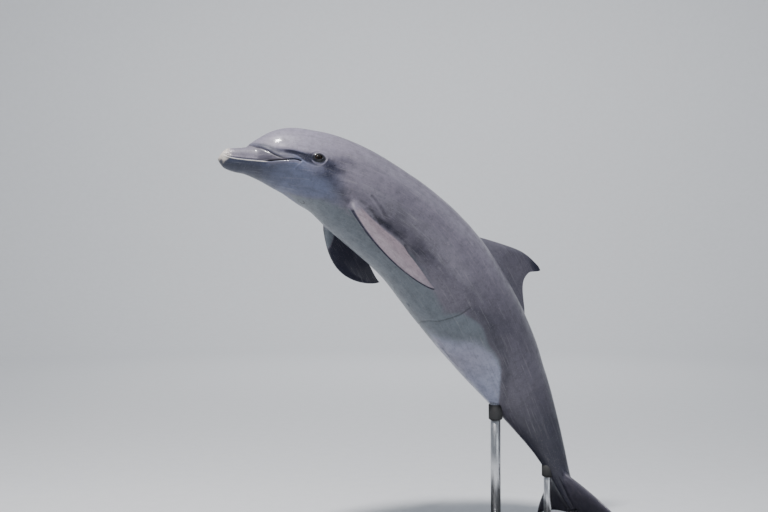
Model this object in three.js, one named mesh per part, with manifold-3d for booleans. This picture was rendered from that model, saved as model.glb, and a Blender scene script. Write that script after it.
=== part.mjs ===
// A bottlenose dolphin, life size and still, leaping on a plain display stand.
// Millimetres, +Z up. The head points to -X and the left flank faces -Y.
// The origin is the centre of the underside of the stand's base.

import * as THREE from 'three';
import { mergeVertices } from 'three/addons/utils/BufferGeometryUtils.js';
import Module from 'manifold-3d';

// ---------------------------------------------------------------- driving sizes

const LENGTH = 2200;                  // snout tip to the notch of the flukes, along the spine
const SNOUT_TIP = [-1010, -350, 1561];
const GAP = 0.4;                      // thin cut between neighbouring pieces
const AROUND = 30;                    // sides of a body ring

// The heading of the spine in degrees, at the snout and then bend by bend:
// [from, to, change], with the places measured along the spine.
const NOSE_DOWN = { start: 5.8, bends: [[150, 640, 19.3], [450, 1200, 31.3], [950, 1750, 4.8], [1600, 2200, 7.9]] };
const SWING_AWAY = { start: 24.4, bends: [[150, 1200, -17.1], [1000, 2100, -8.3]] };
const BACK_AWAY = { start: 14.75, bends: [[150, 1000, 12.55], [900, 2000, -1.45]] };

// Stations along the spine: how far the body rises above it, drops below it
// and reaches to each side.
const JAWS = [
  { at: 0, rise: 27, drop: 29, side: 20 },
  { at: 30, rise: 31, drop: 47, side: 30 },
  { at: 70, rise: 35, drop: 55, side: 39 },
  { at: 112, rise: 44, drop: 57, side: 48 },
  { at: 170, rise: 50, drop: 71, side: 68 },
  { at: 240, rise: 58, drop: 95, side: 92 },
  { at: 345, rise: 70, drop: 124, side: 112 },
  { at: 470, rise: 80, drop: 125, side: 120 },
];
const BODY = [
  { at: 78, rise: 8, drop: 6, side: 4 },
  { at: 112, rise: 52, drop: 14, side: 26 },
  { at: 150, rise: 86, drop: 25, side: 64 },
  { at: 200, rise: 122, drop: 46, side: 97 },
  { at: 260, rise: 146, drop: 80, side: 120 },
  { at: 345, rise: 156, drop: 126, side: 142 },
  { at: 430, rise: 162, drop: 149, side: 156 },
  { at: 540, rise: 158, drop: 192, side: 173 },
  { at: 700, rise: 155, drop: 221, side: 179 },
  { at: 900, rise: 166, drop: 233, side: 187 },
  { at: 1100, rise: 181, drop: 236, side: 188 },
  { at: 1310, rise: 184, drop: 216, side: 168 },
  { at: 1500, rise: 170, drop: 182, side: 136 },
  { at: 1700, rise: 130, drop: 130, side: 90 },
  { at: 1880, rise: 86, drop: 80, side: 54 },
  { at: 2040, rise: 46, drop: 46, side: 31 },
  { at: 2140, rise: 25, drop: 25, side: 22 },
  { at: 2200, rise: 10, drop: 10, side: 16 },
];
const SNOUT_ROUNDING = 26;            // length over which the snout tip closes

const MOUTH = { corner: 292, tipUp: -8, midUp: -21, cornerUp: -20 };
const TIPS_BACK = { lower: 4.5, upper: 18.5 };     // how far the tips of the jaws are drawn in
const CREASE = { top: 115, topUp: 52, low: 214, lowUp: -20 };
const EYE = { at: 349, angle: 0.04, radius: 17, sunk: 12 };
const BLOWHOLE = { at: 352, length: 15, width: 24, depth: 7 };

const DORSAL_FIN = { front: 1018, height: 208, lean: 272, back: 1440, hollow: 1290, tip: 1312 };
const FLIPPER = {
  at: 544, angle: -0.78, length: 434, bulge: 72, behind: 50, bump: 22, bumpAt: 0.45, sweep: 10,
};
const FLUKE = { reach: 292, front: 2025, tip: 2240 };

const BASE = { length: 1040, width: 660, thick: 24, corner: 110, bevel: 4 };
const RODS = [
  { name: 'front', x: 62, y: -36, radius: 20, enters: 1655, sinks: 85 },
  { name: 'rear', x: 282, y: 20, radius: 15, enters: 1985, sinks: 45 },
];
const COLLAR = { radius: 62, height: 34, rim: 10 };

// ---------------------------------------------------------------- materials

const skin = (color, roughness = 0.35) => new THREE.MeshStandardMaterial({ color, roughness, metalness: 0 });
const BACK_GREY = 0x6f6a6c;
const FACE_GREY = 0x7f8085;
const TAIL_GREY = 0x5b585b;
const FIN_GREY = 0x4d4a4c;
const LIP_CREAM = 0xb3ab9d;
const EYE_BROWN = 0x1c1614;
const STAND_BLACK = new THREE.MeshStandardMaterial({ color: 0x2b2d30, roughness: 0.45, metalness: 0.2 });
const STEEL = new THREE.MeshStandardMaterial({ color: 0xb9bcc0, roughness: 0.3, metalness: 1 });

// ---------------------------------------------------------------- small maths

const wasm = await Module();
wasm.setup();

const clamp = (v, low, high) => Math.min(Math.max(v, low), high);

function smooth(t) {
  const s = clamp(t, 0, 1);
  return s * s * (3 - 2 * s);
}

// A smooth curve through the stations of a table, for one of its sizes.
function through(table, size, x) {
  const last = table.length - 1;
  const slope = (i) => {
    const a = table[Math.max(i - 1, 0)];
    const b = table[Math.min(i + 1, last)];
    return (b[size] - a[size]) / (b.at - a.at);
  };
  let i = 0;
  while (i < last - 1 && x > table[i + 1].at) i += 1;
  const [a, b] = [table[i], table[i + 1]];
  const h = b.at - a.at;
  const t = clamp((x - a.at) / h, 0, 1);
  const [t2, t3] = [t * t, t * t * t];
  return (2 * t3 - 3 * t2 + 1) * a[size] + (t3 - 2 * t2 + t) * h * slope(i)
    + (3 * t2 - 2 * t3) * b[size] + (t3 - t2) * h * slope(i + 1);
}

function smoothMax(a, b, blend) {
  const h = clamp(0.5 + (0.5 * (a - b)) / blend, 0, 1);
  return b + (a - b) * h + blend * h * (1 - h);
}

// ---------------------------------------------------------------- spine

const heading = ({ start, bends }, x) => THREE.MathUtils.degToRad(
  bends.reduce((sum, [from, to, change]) => sum + change * smooth((x - from) / (to - from)), start));

// The frame at a place on the spine: its direction, the up and the left of the body.
function axesAt(x) {
  const pitch = heading(NOSE_DOWN, x);
  const yaw = heading(SWING_AWAY, x);
  const roll = heading(BACK_AWAY, x);
  const [cp, sp, cy, sy] = [Math.cos(pitch), Math.sin(pitch), Math.cos(yaw), Math.sin(yaw)];
  const along = new THREE.Vector3(cp * cy, sy, -sp * cy);
  const upright = new THREE.Vector3(sp, 0, cp);
  const away = new THREE.Vector3().crossVectors(upright, along);
  const up = upright.clone().multiplyScalar(Math.cos(roll)).addScaledVector(away, Math.sin(roll));
  const left = away.clone().multiplyScalar(-Math.cos(roll)).addScaledVector(upright, Math.sin(roll));
  return { along, up, left };
}

const STEP = 5;
const centres = [new THREE.Vector3(...SNOUT_TIP)];
for (let x = 0; x < LENGTH + 100; x += STEP) {
  centres.push(centres.at(-1).clone().addScaledVector(axesAt(x + STEP / 2).along, STEP));
}

function spineAt(x) {
  const i = clamp(Math.floor(x / STEP), 0, centres.length - 2);
  const centre = centres[i].clone().lerp(centres[i + 1], x / STEP - i);
  return { centre, ...axesAt(x) };
}

// The point of the model at a place along the body, to its left and above its spine.
function bodyPoint(x, left, up) {
  const frame = spineAt(x);
  return frame.centre.addScaledVector(frame.left, left).addScaledVector(frame.up, up);
}

// ---------------------------------------------------------------- body surface

// How square a section is: 2 is an ellipse, and the tail stock is keeled.
const FULLNESS = [
  { at: 0, n: 2.3 }, { at: 112, n: 2.3 }, { at: 345, n: 2.25 }, { at: 700, n: 2.15 },
  { at: 1310, n: 2.05 }, { at: 1700, n: 1.9 }, { at: 2040, n: 1.8 }, { at: 2200, n: 1.8 },
];

function sectionRadius(table, x, angle, n) {
  const side = Math.max(through(table, 'side', x), 0.01);
  const tall = Math.max(through(table, Math.sin(angle) > 0 ? 'rise' : 'drop', x), 0.01);
  const sum = Math.abs(Math.cos(angle) / side) ** n + Math.abs(Math.sin(angle) / tall) ** n;
  return sum ** (-1 / n);
}

// The distance from the spine to the skin: the beak and the body with its melon,
// blended so that the crease between them stays crisp in front and fades behind.
function radiusAt(x, angle) {
  const n = through(FULLNESS, 'n', x);
  const closing = Math.sqrt(1 - (1 - clamp(x / SNOUT_ROUNDING, 0, 1)) ** 2);
  const fading = (1 - 0.1 * smooth((x - 250) / 150)) * (1 - smooth((x - 420) / 200));
  const beak = sectionRadius(JAWS, Math.min(x, 470), angle, n) * closing * fading;
  const body = sectionRadius(BODY, Math.max(x, 78), angle, n) * smooth((x - 70) / 10);
  const blend = clamp(5 + (x - 112) * 0.085, 5, 30) * (1 - smooth((x - 400) / 100)) + 1;
  return smoothMax(beak, body, blend);
}

function skinPoint(x, angle, extra = 0) {
  const r = radiusAt(x, angle) + extra;
  return bodyPoint(x, r * Math.cos(angle), r * Math.sin(angle));
}

// ---------------------------------------------------------------- solids

function manifoldFrom(points, triangles) {
  const vertProperties = new Float32Array(points.flatMap((p) => [p.x, p.y, p.z]));
  const triVerts = new Uint32Array(triangles.flat());
  const solid = new wasm.Manifold(new wasm.Mesh({ numProp: 3, vertProperties, triVerts }));
  return solid.volume() > 0 ? solid : manifoldFrom(points, triangles.map(([a, b, c]) => [a, c, b]));
}

// A closed solid through rings of equal size, with a point or a flat at each end.
function loft(rings, startPoint, endPoint) {
  const size = rings[0].length;
  const points = [...rings.flat(), startPoint, endPoint];
  const [start, end] = [points.length - 2, points.length - 1];
  const triangles = [];
  for (let k = 0; k < size; k += 1) {
    const next = (k + 1) % size;
    triangles.push([start, next, k]);
    for (let r = 0; r < rings.length - 1; r += 1) {
      const [a, b] = [r * size + k, r * size + next];
      const [c, d] = [a + size, b + size];
      triangles.push([a, b, d], [a, d, c]);
    }
    const tail = (rings.length - 1) * size;
    triangles.push([end, tail + k, tail + next]);
  }
  return manifoldFrom(points, triangles);
}

const middleOf = (ring) => ring.reduce((sum, p) => sum.add(p), new THREE.Vector3()).divideScalar(ring.length);

const ringAt = (x, extra = 0) => Array.from({ length: AROUND },
  (_, k) => skinPoint(x, (2 * Math.PI * k) / AROUND, extra));

function between(from, to, count) {
  return Array.from({ length: count + 1 }, (_, i) => from + ((to - from) * i) / count);
}

// A length of the body. From the snout tip it starts in a point.
function bodyLength(from, to, count, extra = 0) {
  const places = from > 0 ? between(from, to, count) : [1, 4, 9, 17, ...between(28, to, count)];
  if (extra > 0) places.push(to + extra);
  const rings = places.map((x) => ringAt(x, extra));
  const start = from > 0 ? middleOf(rings[0]) : bodyPoint(-extra, 0, 0);
  return loft(rings, start, middleOf(rings.at(-1)));
}

// A block of space that follows the spine, for parting the head: it reaches across the
// whole body, from one place to another, between a low and a high surface.
function blockAlong(from, to, low, high, lean = 0) {
  const reach = 260;
  const rings = between(0, 1, 14).map((t) => {
    const corner = (side, height) => {
      const end = to + lean * (height(to) - CREASE.topUp);
      const x = from + (end - from) * t;
      return bodyPoint(x, side, height(x));
    };
    return [corner(reach, low), corner(-reach, low), corner(-reach, high), corner(reach, high)];
  });
  return loft(rings, middleOf(rings[0]), middleOf(rings.at(-1)));
}

function fromGeometry(geometry) {
  geometry.deleteAttribute('normal');
  geometry.deleteAttribute('uv');
  const merged = mergeVertices(geometry, 1e-4);
  const position = merged.getAttribute('position');
  const points = Array.from({ length: position.count },
    (_, i) => new THREE.Vector3().fromBufferAttribute(position, i));
  const index = Array.from(merged.index.array);
  const triangles = Array.from({ length: index.length / 3 }, (_, i) => index.slice(3 * i, 3 * i + 3));
  return manifoldFrom(points, triangles);
}

const ball = (radius, centre, scale = [1, 1, 1]) => fromGeometry(
  new THREE.SphereGeometry(radius, 12, 8).scale(...scale).translate(...centre.toArray()));

function uprightRod(radius, x, y, from, to, sides = 20) {
  const geometry = new THREE.CylinderGeometry(radius, radius, to - from, sides);
  return fromGeometry(geometry.rotateX(Math.PI / 2).translate(x, y, (from + to) / 2));
}

// ---------------------------------------------------------------- fins

// The half thickness of a rounded, tapering section, 1 at its thickest.
const foil = (c) => 10 * (0.2969 * Math.sqrt(c) - 0.126 * c - 0.3516 * c ** 2 + 0.2843 * c ** 3 - 0.1036 * c ** 4);

// A fin from its edges and thickness, each a function of how far out it is.
function finSolid({ from, lead, trail, half, place, rings = 9, across = 6 }) {
  const edge = 0.8;
  const sections = between(0, 1, rings).map((s) => {
    const t = from + (1 - from) * (1 - (1 - s) ** 1.5);
    const [front, back] = [lead(t), trail(t)];
    const point = (c, side) => place(t, front + (back - front) * c, side * (half(t) * foil(c) + edge * c));
    const chord = between(0, 1, across).map((s2) => (1 - Math.cos(Math.PI * s2)) / 2);
    const above = chord.map((c) => point(c, 1));
    const below = chord.slice(1).reverse().map((c) => point(c, -1));
    return [...above, ...below];
  });
  return loft(sections, middleOf(sections[0]), middleOf(sections.at(-1)));
}

function dorsalFin() {
  const { front, height, lean, back, hollow, tip } = DORSAL_FIN;
  return finSolid({
    from: -0.3,
    lead: (t) => front + lean * (0.78 * t + 0.22 * Math.max(t, 0) ** 12) - (t > 0.99 ? 2 : 0),
    trail: (t) => hollow + (back - hollow) * Math.exp(-((t / 0.33) ** 2)) * (t < 0 ? 1 - t : 1)
      + (tip - hollow) * smooth((t - 0.7) / 0.3),
    half: (t) => 19 * (1 - Math.max(t, 0)) + 3 + 11 * Math.exp(-Math.max(t, 0) / 0.13),
    place: (t, x, thick) => bodyPoint(x, thick, through(BODY, 'rise', x) + t * height),
    rings: 10,
  });
}

function fluke(side) {
  const { reach, front, tip } = FLUKE;
  return finSolid({
    from: 0.0008,
    lead: (t) => front + (tip - 18 - front) * t ** 1.25 + 14 * t ** 8,
    trail: (t) => LENGTH + 22 * (1 - Math.exp(-t / 0.06)) - 14 * Math.sin(Math.PI * t) + 20 * t ** 3,
    half: (t) => 13 * (1 - t) + 3 + 9 * Math.exp(-t / 0.1),
    place: (t, x, thick) => bodyPoint(x, side * t * reach, thick),
  });
}

// A flipper's own directions, as parts of the body's: along it, out and up.
// The blade is turned about its length, and curved a little in its own plane.
const FLIPPERS = {
  left: { side: 1, aft: 0.9, out: 0.165, up: -0.4, blade: [0.44, -0.48, 0.76], curve: -1 },
  right: { side: -1, aft: 0.842, out: 0.532, up: -0.09, blade: [0.33, -0.37, 0.87], curve: -22 },
};

function flipper({ side, aft, out, up, blade, curve }) {
  const { at, angle, length, bulge, behind, bump, bumpAt, sweep } = FLIPPER;
  const root = skinPoint(at, side > 0 ? angle : Math.PI - angle, -2);
  const inward = spineAt(at).centre.sub(root).normalize();
  const body = axesAt(at + 56);
  const mix = ([a, o, u]) => body.along.clone().multiplyScalar(a)
    .addScaledVector(body.left, side * o).addScaledVector(body.up, u);
  const span = mix([aft, out, up]).normalize();
  const chord = mix(blade);
  chord.addScaledVector(span, -chord.dot(span)).normalize();
  const face = new THREE.Vector3().crossVectors(span, chord);
  return finSolid({
    from: -0.14,
    lead: (t) => -bulge * Math.sin(Math.PI * clamp(0.1 + 0.9 * t, 0, 1) ** 1.2) ** 0.6,
    trail: (t) => behind * (1 - smooth((t - 0.5) / 0.5)) + bump * Math.exp(-(((t - bumpAt) / 0.1) ** 2))
      + 12 * Math.exp(-Math.max(t, 0) / 0.1) + 8 * Math.sin(Math.PI * clamp((t - 0.6) / 0.4, 0, 1)),
    half: (t) => 10 * (1 - Math.max(t, 0)) + 3 + 8 * Math.exp(-Math.max(t, 0) / 0.12),
    place: (t, c, thick) => root.clone().addScaledVector(span, t * length)
      .addScaledVector(chord, c + curve * Math.sin(Math.PI * clamp(t, 0, 1)) + sweep * Math.max(t, 0) ** 2)
      .addScaledVector(face, thick)
      .addScaledVector(inward, -Math.min(t, 0) * length),
    rings: 10,
  });
}

// ---------------------------------------------------------------- the pieces

const model = new THREE.Group();

function add(name, solid, material) {
  const mesh = solid.getMesh();
  const geometry = new THREE.BufferGeometry();
  geometry.setAttribute('position', new THREE.BufferAttribute(new Float32Array(mesh.vertProperties), 3));
  geometry.setIndex(new THREE.BufferAttribute(new Uint32Array(mesh.triVerts), 1));
  const piece = new THREE.Mesh(geometry, material);
  piece.name = name;
  model.add(piece);
}

const grown = bodyLength(0, 1850, 52, 1.5 * GAP);

// The bores for the stand's rods are cut a little wide in what they enter.
const rodTop = (rod) => bodyPoint(rod.enters, 0, -through(BODY, 'drop', rod.enters)).z + rod.sinks;
const rodBore = (rod) => uprightRod(rod.radius + GAP, rod.x, rod.y, BASE.thick, rodTop(rod) + GAP);
const bored = (solid) => RODS.reduce((s, rod) => s.subtract(rodBore(rod)), solid);

// Draws in the tip of a jaw, the upper one's further than the lower one's.
function drawnIn(jaw, by) {
  const tip = spineAt(0);
  return jaw.warp((point) => {
    const from = new THREE.Vector3(...point).sub(tip.centre);
    const back = by * (1 - smooth((from.dot(tip.along) - 4) / 80));
    from.add(tip.centre).addScaledVector(tip.along, back).toArray(point);
  });
}

function addHead() {
  const mouthAt = (x) => {
    const { corner, tipUp, midUp, cornerUp } = MOUTH;
    return tipUp + (midUp - tipUp) * smooth((x + 20) / 220) + (cornerUp - midUp) * smooth((x - 220) / (corner - 220));
  };
  const above = (shift) => (x) => mouthAt(x) + shift;
  const lean = (CREASE.top - CREASE.low) / (CREASE.topUp - CREASE.lowUp);
  const face = bodyLength(0, MOUTH.corner + 8, 17);
  const deep = () => -260;
  const tall = () => 260;
  const top = (shift) => () => CREASE.topUp + 26 + shift;
  const lower = blockAlong(-20, MOUTH.corner, deep, above(-GAP / 2));
  const mouthCut = blockAlong(-20, MOUTH.corner + GAP, deep, above(GAP / 2));
  const beak = blockAlong(-20, CREASE.top, above(GAP / 2), top(0), lean);
  const beakCut = blockAlong(-30, CREASE.top + GAP, above(-GAP), top(GAP), lean);
  add('lower_jaw', drawnIn(face.intersect(lower), TIPS_BACK.lower), skin(LIP_CREAM));
  add('upper_jaw', drawnIn(face.intersect(beak), TIPS_BACK.upper), skin(LIP_CREAM));
  add('melon', face.subtract(mouthCut).subtract(beakCut), skin(FACE_GREY));

  let head = bodyLength(MOUTH.corner + 8 + GAP, 430, 6);
  const hole = skinPoint(BLOWHOLE.at, Math.PI / 2);
  const { length, width, depth } = BLOWHOLE;
  head = head.subtract(ball(1, hole, [length, width, depth]));
  for (const side of [1, -1]) {
    const angle = side > 0 ? EYE.angle : Math.PI - EYE.angle;
    const centre = skinPoint(EYE.at, angle, -EYE.sunk);
    head = head.subtract(ball(EYE.radius + GAP, centre));
    const name = side > 0 ? 'eye_left' : 'eye_right';
    add(name, ball(EYE.radius, centre), new THREE.MeshStandardMaterial({ color: EYE_BROWN, roughness: 0.08 }));
  }
  add('head', head, skin(FACE_GREY));
}

function addTrunk() {
  const lengths = [
    { name: 'neck', from: 430, to: 545, rings: 4, color: FACE_GREY },
    { name: 'chest', from: 545, to: 860, rings: 8, color: BACK_GREY },
    { name: 'trunk', from: 860, to: 1230, rings: 7, color: BACK_GREY },
    { name: 'loin', from: 1230, to: 1560, rings: 8, color: BACK_GREY },
    { name: 'tail_stock_front', from: 1560, to: 1850, rings: 8, color: TAIL_GREY },
    { name: 'tail_stock_rear', from: 1850, to: 2168, rings: 9, color: TAIL_GREY },
  ];
  for (const { name, from, to, rings, color } of lengths) {
    add(name, bored(bodyLength(from + GAP, to, rings)), skin(color));
  }
}

function addFins() {
  add('dorsal_fin', dorsalFin().subtract(grown), skin(FIN_GREY));
  add('flipper_left', flipper(FLIPPERS.left).subtract(grown), skin(FIN_GREY));
  add('flipper_right', flipper(FLIPPERS.right).subtract(grown), skin(FIN_GREY));
  const core = bodyLength(1850 + GAP, 2168, 9, GAP);
  add('fluke_left', fluke(1).subtract(core), skin(TAIL_GREY));
  add('fluke_right', fluke(-1).subtract(core), skin(TAIL_GREY));
}

function addStand() {
  const { length, width, thick, corner, bevel } = BASE;
  const [hx, hy] = [length / 2 - bevel, width / 2 - bevel];
  const r = corner - bevel;
  const outline = new THREE.Shape();
  outline.moveTo(-hx + r, -hy);
  outline.lineTo(hx - r, -hy);
  outline.absarc(hx - r, -hy + r, r, -Math.PI / 2, 0);
  outline.lineTo(hx, hy - r);
  outline.absarc(hx - r, hy - r, r, 0, Math.PI / 2);
  outline.lineTo(-hx + r, hy);
  outline.absarc(-hx + r, hy - r, r, Math.PI / 2, Math.PI);
  outline.lineTo(-hx, -hy + r);
  outline.absarc(-hx + r, -hy + r, r, Math.PI, Math.PI * 1.5);
  const plate = new THREE.ExtrudeGeometry(outline, {
    depth: thick - 2 * bevel, bevelSize: bevel, bevelThickness: bevel, bevelSegments: 1, curveSegments: 5,
  });
  add('stand_base', fromGeometry(plate.translate(0, 0, bevel)), STAND_BLACK);

  for (const rod of RODS) {
    add(`stand_rod_${rod.name}`, uprightRod(rod.radius, rod.x, rod.y, thick, rodTop(rod)), STEEL);
    const profile = [
      [rod.radius + GAP, 0], [COLLAR.radius, 0], [COLLAR.radius, COLLAR.rim * 0.8],
      [COLLAR.radius - 3, COLLAR.rim], [rod.radius + 16, COLLAR.rim + 2], [rod.radius + 11, COLLAR.height - 3],
      [rod.radius + 8, COLLAR.height], [rod.radius + GAP, COLLAR.height], [rod.radius + GAP, 0],
    ].map(([radius, z]) => new THREE.Vector2(radius, z));
    const ring = new THREE.LatheGeometry(profile, 18).rotateX(Math.PI / 2).translate(rod.x, rod.y, thick);
    add(`stand_collar_${rod.name}`, fromGeometry(ring), STAND_BLACK);
  }
}

addHead();
addTrunk();
addFins();
addStand();

export default model;
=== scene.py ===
"""Dresses a life-size leaping bottlenose dolphin and its display stand.

The animal's sizes are millimetres along and around its spine, as the model's own are,
and every mesh is made in metres in the model's frame: +Z up, the head towards -X and
the left flank towards -Y.
"""

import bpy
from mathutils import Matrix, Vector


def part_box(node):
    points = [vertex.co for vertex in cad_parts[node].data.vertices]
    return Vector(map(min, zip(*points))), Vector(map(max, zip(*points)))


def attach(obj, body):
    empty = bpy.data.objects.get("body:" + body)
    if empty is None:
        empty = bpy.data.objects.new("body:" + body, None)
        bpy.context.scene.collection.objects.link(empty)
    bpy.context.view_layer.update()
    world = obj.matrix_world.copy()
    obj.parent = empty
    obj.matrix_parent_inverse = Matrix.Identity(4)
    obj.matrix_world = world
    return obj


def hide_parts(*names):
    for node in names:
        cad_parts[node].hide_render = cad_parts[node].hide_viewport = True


bl_info = {
    "name": "Leaping dolphin model",
    "version": (1, 0, 0),
    "blender": (4, 5, 0),
    "location": "3D View > Sidebar > Dolphin",
    "description": "Makes the skin, eyes and stand of a leaping dolphin model and its stage",
    "category": "Object",
}

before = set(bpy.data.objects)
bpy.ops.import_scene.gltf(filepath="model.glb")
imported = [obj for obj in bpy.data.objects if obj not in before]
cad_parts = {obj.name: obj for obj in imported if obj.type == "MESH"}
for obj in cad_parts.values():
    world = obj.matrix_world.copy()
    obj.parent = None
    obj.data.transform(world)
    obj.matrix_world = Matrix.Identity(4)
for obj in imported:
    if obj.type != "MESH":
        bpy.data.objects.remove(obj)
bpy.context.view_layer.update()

import math

import bmesh
import bpy
import numpy as np
from bpy.props import FloatProperty, FloatVectorProperty, IntProperty, PointerProperty
from mathutils import Vector, noise
from mathutils.bvhtree import BVHTree

MM = 0.001

# ------------------------------------------------------------------ the animal's sizes

LENGTH = 2200.0                       # snout tip to the notch of the flukes
SNOUT_TIP = np.array([-1010.0, -350.0, 1561.0])
SPINE_STEP = 5.0

# The spine's heading in degrees: at the snout, then (from, to, change) for each bend.
NOSE_DOWN = (5.8, ((150, 640, 19.3), (450, 1200, 31.3), (950, 1750, 4.8), (1600, 2200, 7.9)))
SWING_AWAY = (24.4, ((150, 1200, -17.1), (1000, 2100, -8.3)))
BACK_AWAY = (14.75, ((150, 1000, 12.55), (900, 2000, -1.45)))

# Stations along the spine: (at, rise above it, drop below it, reach to each side).
JAWS = np.array([
    (0, 27, 29, 20), (30, 31, 47, 30), (70, 35, 55, 39), (112, 44, 57, 48),
    (170, 50, 71, 68), (240, 58, 95, 92), (345, 70, 124, 112), (470, 80, 125, 120),
], float)
BODY = np.array([
    (78, 8, 6, 4), (112, 52, 14, 26), (150, 86, 25, 64), (200, 122, 46, 97),
    (260, 146, 80, 120), (345, 156, 126, 142), (430, 162, 149, 156), (540, 158, 192, 173),
    (700, 155, 221, 179), (900, 166, 233, 187), (1100, 181, 236, 188), (1310, 184, 216, 168),
    (1500, 170, 182, 136), (1700, 130, 130, 90), (1880, 86, 80, 54), (2040, 46, 46, 31),
    (2140, 25, 25, 22), (2200, 10, 10, 16),
], float)
FULLNESS = np.array([(0, 2.3), (112, 2.3), (345, 2.25), (700, 2.15), (1310, 2.05),
                     (1700, 1.9), (2040, 1.8), (2200, 1.8)])
SNOUT_ROUNDING = 26.0
TAIL_END = 2190.0

MOUTH_CORNER = 290.0
UPPER_JAW_SHORTER = 14.0
LOWER_JAW_SHORTER = 4.5
UPPER_TIP_UP, LOWER_TIP_DOWN = 5.0, 15.0
EYE_AT, EYE_ANGLE, EYE_RADIUS, EYE_SUNK = 349.0, 0.04, 17.0, 12.0
BLOWHOLE_AT = 352.0
DORSAL_FIN = dict(front=1018, height=208, lean=272, back=1440, hollow=1290, tip=1312)
FLIPPER = dict(at=544, angle=-0.78, length=434, bulge=72, behind=50, bump=22, bump_at=0.45, sweep=10)
FLIPPERS = (
    dict(side=1, aft=0.9, out=0.165, up=-0.4, blade=(0.44, -0.48, 0.76), curve=-1),
    dict(side=-1, aft=0.842, out=0.532, up=-0.09, blade=(0.33, -0.37, 0.87), curve=-22),
)
FLUKE = dict(reach=292, front=2025, tip=2240)
FLIPPER_SUNK = -0.14                  # a flipper's hidden end, as a share of its length
FIN_BLENDS = (34, 26, 26, 15, 15)     # rounding where the dorsal fin, flukes and flippers meet the body
FIN_REACH = 60                        # distances to the fins and from the body are found up to this
FIN_EDGE = 0.8                        # half thickness of a fin's trailing edge

HEAD_END = 480                        # behind this place there is nothing of the face
LONG_SLIT = (1290, 1428)              # the slits and the navel along the middle of the belly
SMALL_SLIT = (1470, 1500)
NAVEL_AT = 1075

FLESH = ("upper_jaw", "lower_jaw", "melon", "head", "neck", "chest", "trunk", "loin",
         "tail_stock_front", "tail_stock_rear", "fluke_left", "fluke_right",
         "dorsal_fin", "flipper_left", "flipper_right")

# Lines of the head's left side, mirrored on its right: (at, height above the spine).
MOUTH = np.array([(0, 8), (17, 4), (25, -4), (35, -9), (62, -13.5), (91, -15), (126, -16.5), (155, -18.5),
                  (180, -20.3), (230, -19), (253, -16), (270, -15.2), (290, -20.5), (320, -32)], float)
CREASE = np.array([(104, 92), (116, 57), (129, 42), (142, 33), (156, 25), (174, 12), (193, -1),
                   (213, -10), (229, -14), (250, -17), (300, -18)], float)
BROW = np.array([(120, 62), (160, 45), (200, 25), (221, 21), (245, 20), (281, 15), (312, 8),
                 (345, 1)], float)
CORNER_RIDGE = np.array([(240, 8), (263, -3), (278, -9), (288, -17), (300, -22), (330, -30)], float)
CORNER_FOLD = np.array([(240, -70), (254, -58), (272, -44), (280, -35), (289, -25), (300, -14)], float)
LID_FOLD = np.array([(290, -14), (302, -19), (334, -27), (352, -26), (380, -14)], float)

# Creases of the trunk: (at, angle round the body) of the points of each, then its depth and width.
TRUNK_FOLDS = (
    (((426, -1.10), (479, -1.07), (538, -1.05), (575, -1.03)), 1.5, 3.2),
    (((410, -1.30), (480, -1.24), (560, -1.20)), 0.7, 3.2),
    (((590, -0.42), (640, -0.53), (684, -0.66)), 1.5, 5.0),
    (((604, -0.64), (645, -0.73), (684, -0.82)), 1.8, 5.0),
    (((505, -0.56), (545, -0.61), (585, -0.63)), 1.3, 5.0),
    (((462, -0.42), (482, -0.60), (510, -0.78)), 0.9, 5.0),
)
BELLY_CREASE = ((1176, -1.57), (1182, -1.40), (1202, -1.22), (1212, -1.03), (1222, -0.81), (1220, -0.57))

# ------------------------------------------------------------------ the stand and the stage, in metres

BASE_CORNER, CORNER_STEPS = 0.110, 16
ROD_PINHOLE = 0.0005                  # radius left open along a rod's axis
SLEEVES_AT = (("front", 0.560), ("rear", 0.318))
# A sleeve's outline: (out from the rod, up from the sleeve's middle).
SLEEVE_OUTLINE = ((0.0002, -0.030), (0.005, -0.030), (0.008, -0.026), (0.008, 0.030), (0.0002, 0.030))
COLLAR_GAP, COLLAR_HUB = 0.0003, 0.016
BOLT_SEAT = 0.0115                    # height of a washer's middle above its collar's foot
# A bolt's sizes as shares of its head's width, then its washer's thickness and its head's lift.
BOLT_RADIUS, BOLT_HEIGHT, WASHER_RADIUS = 0.577, 0.42, 0.72
WASHER_THICKNESS, BOLT_LIFT = 0.002, 0.0035

CAMERA_AT = (-0.390, -3.496, 1.115)
FLOOR_FLAT, FLOOR_CURVE, WALL_TOP = 9.0, 4.0, 7.5
# The studio lights: name, place, what they aim at, size, watts and colour.
LIGHTS = (
    ("key", (-1.5, -1.7, 5.3), (-0.3, 0, 1.0), (0.5, 0.5), 400, (1.0, 0.98, 0.97)),
    ("fill", (2.8, -4.0, 1.8), (0.0, 0, 0.9), (2.6, 2.2), 30, (0.93, 0.97, 1.0)),
    ("rim", (2.6, 0.2, 4.4), (0.1, 0, 1.0), (3.0, 3.0), 26, (0.82, 0.90, 1.0)),
    ("wall", (0.0, 5.0, 6.5), (0.0, 13.0, 2.0), (6.0, 2.0), 420, (1.0, 1.0, 1.0)),
)
SKY_COLOUR, SKY_STRENGTH = (0.80, 0.86, 0.95, 1.0), 0.38

# ------------------------------------------------------------------ small maths


def smooth(t):
    s = np.clip(t, 0.0, 1.0)
    return s * s * (3 - 2 * s)


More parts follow.
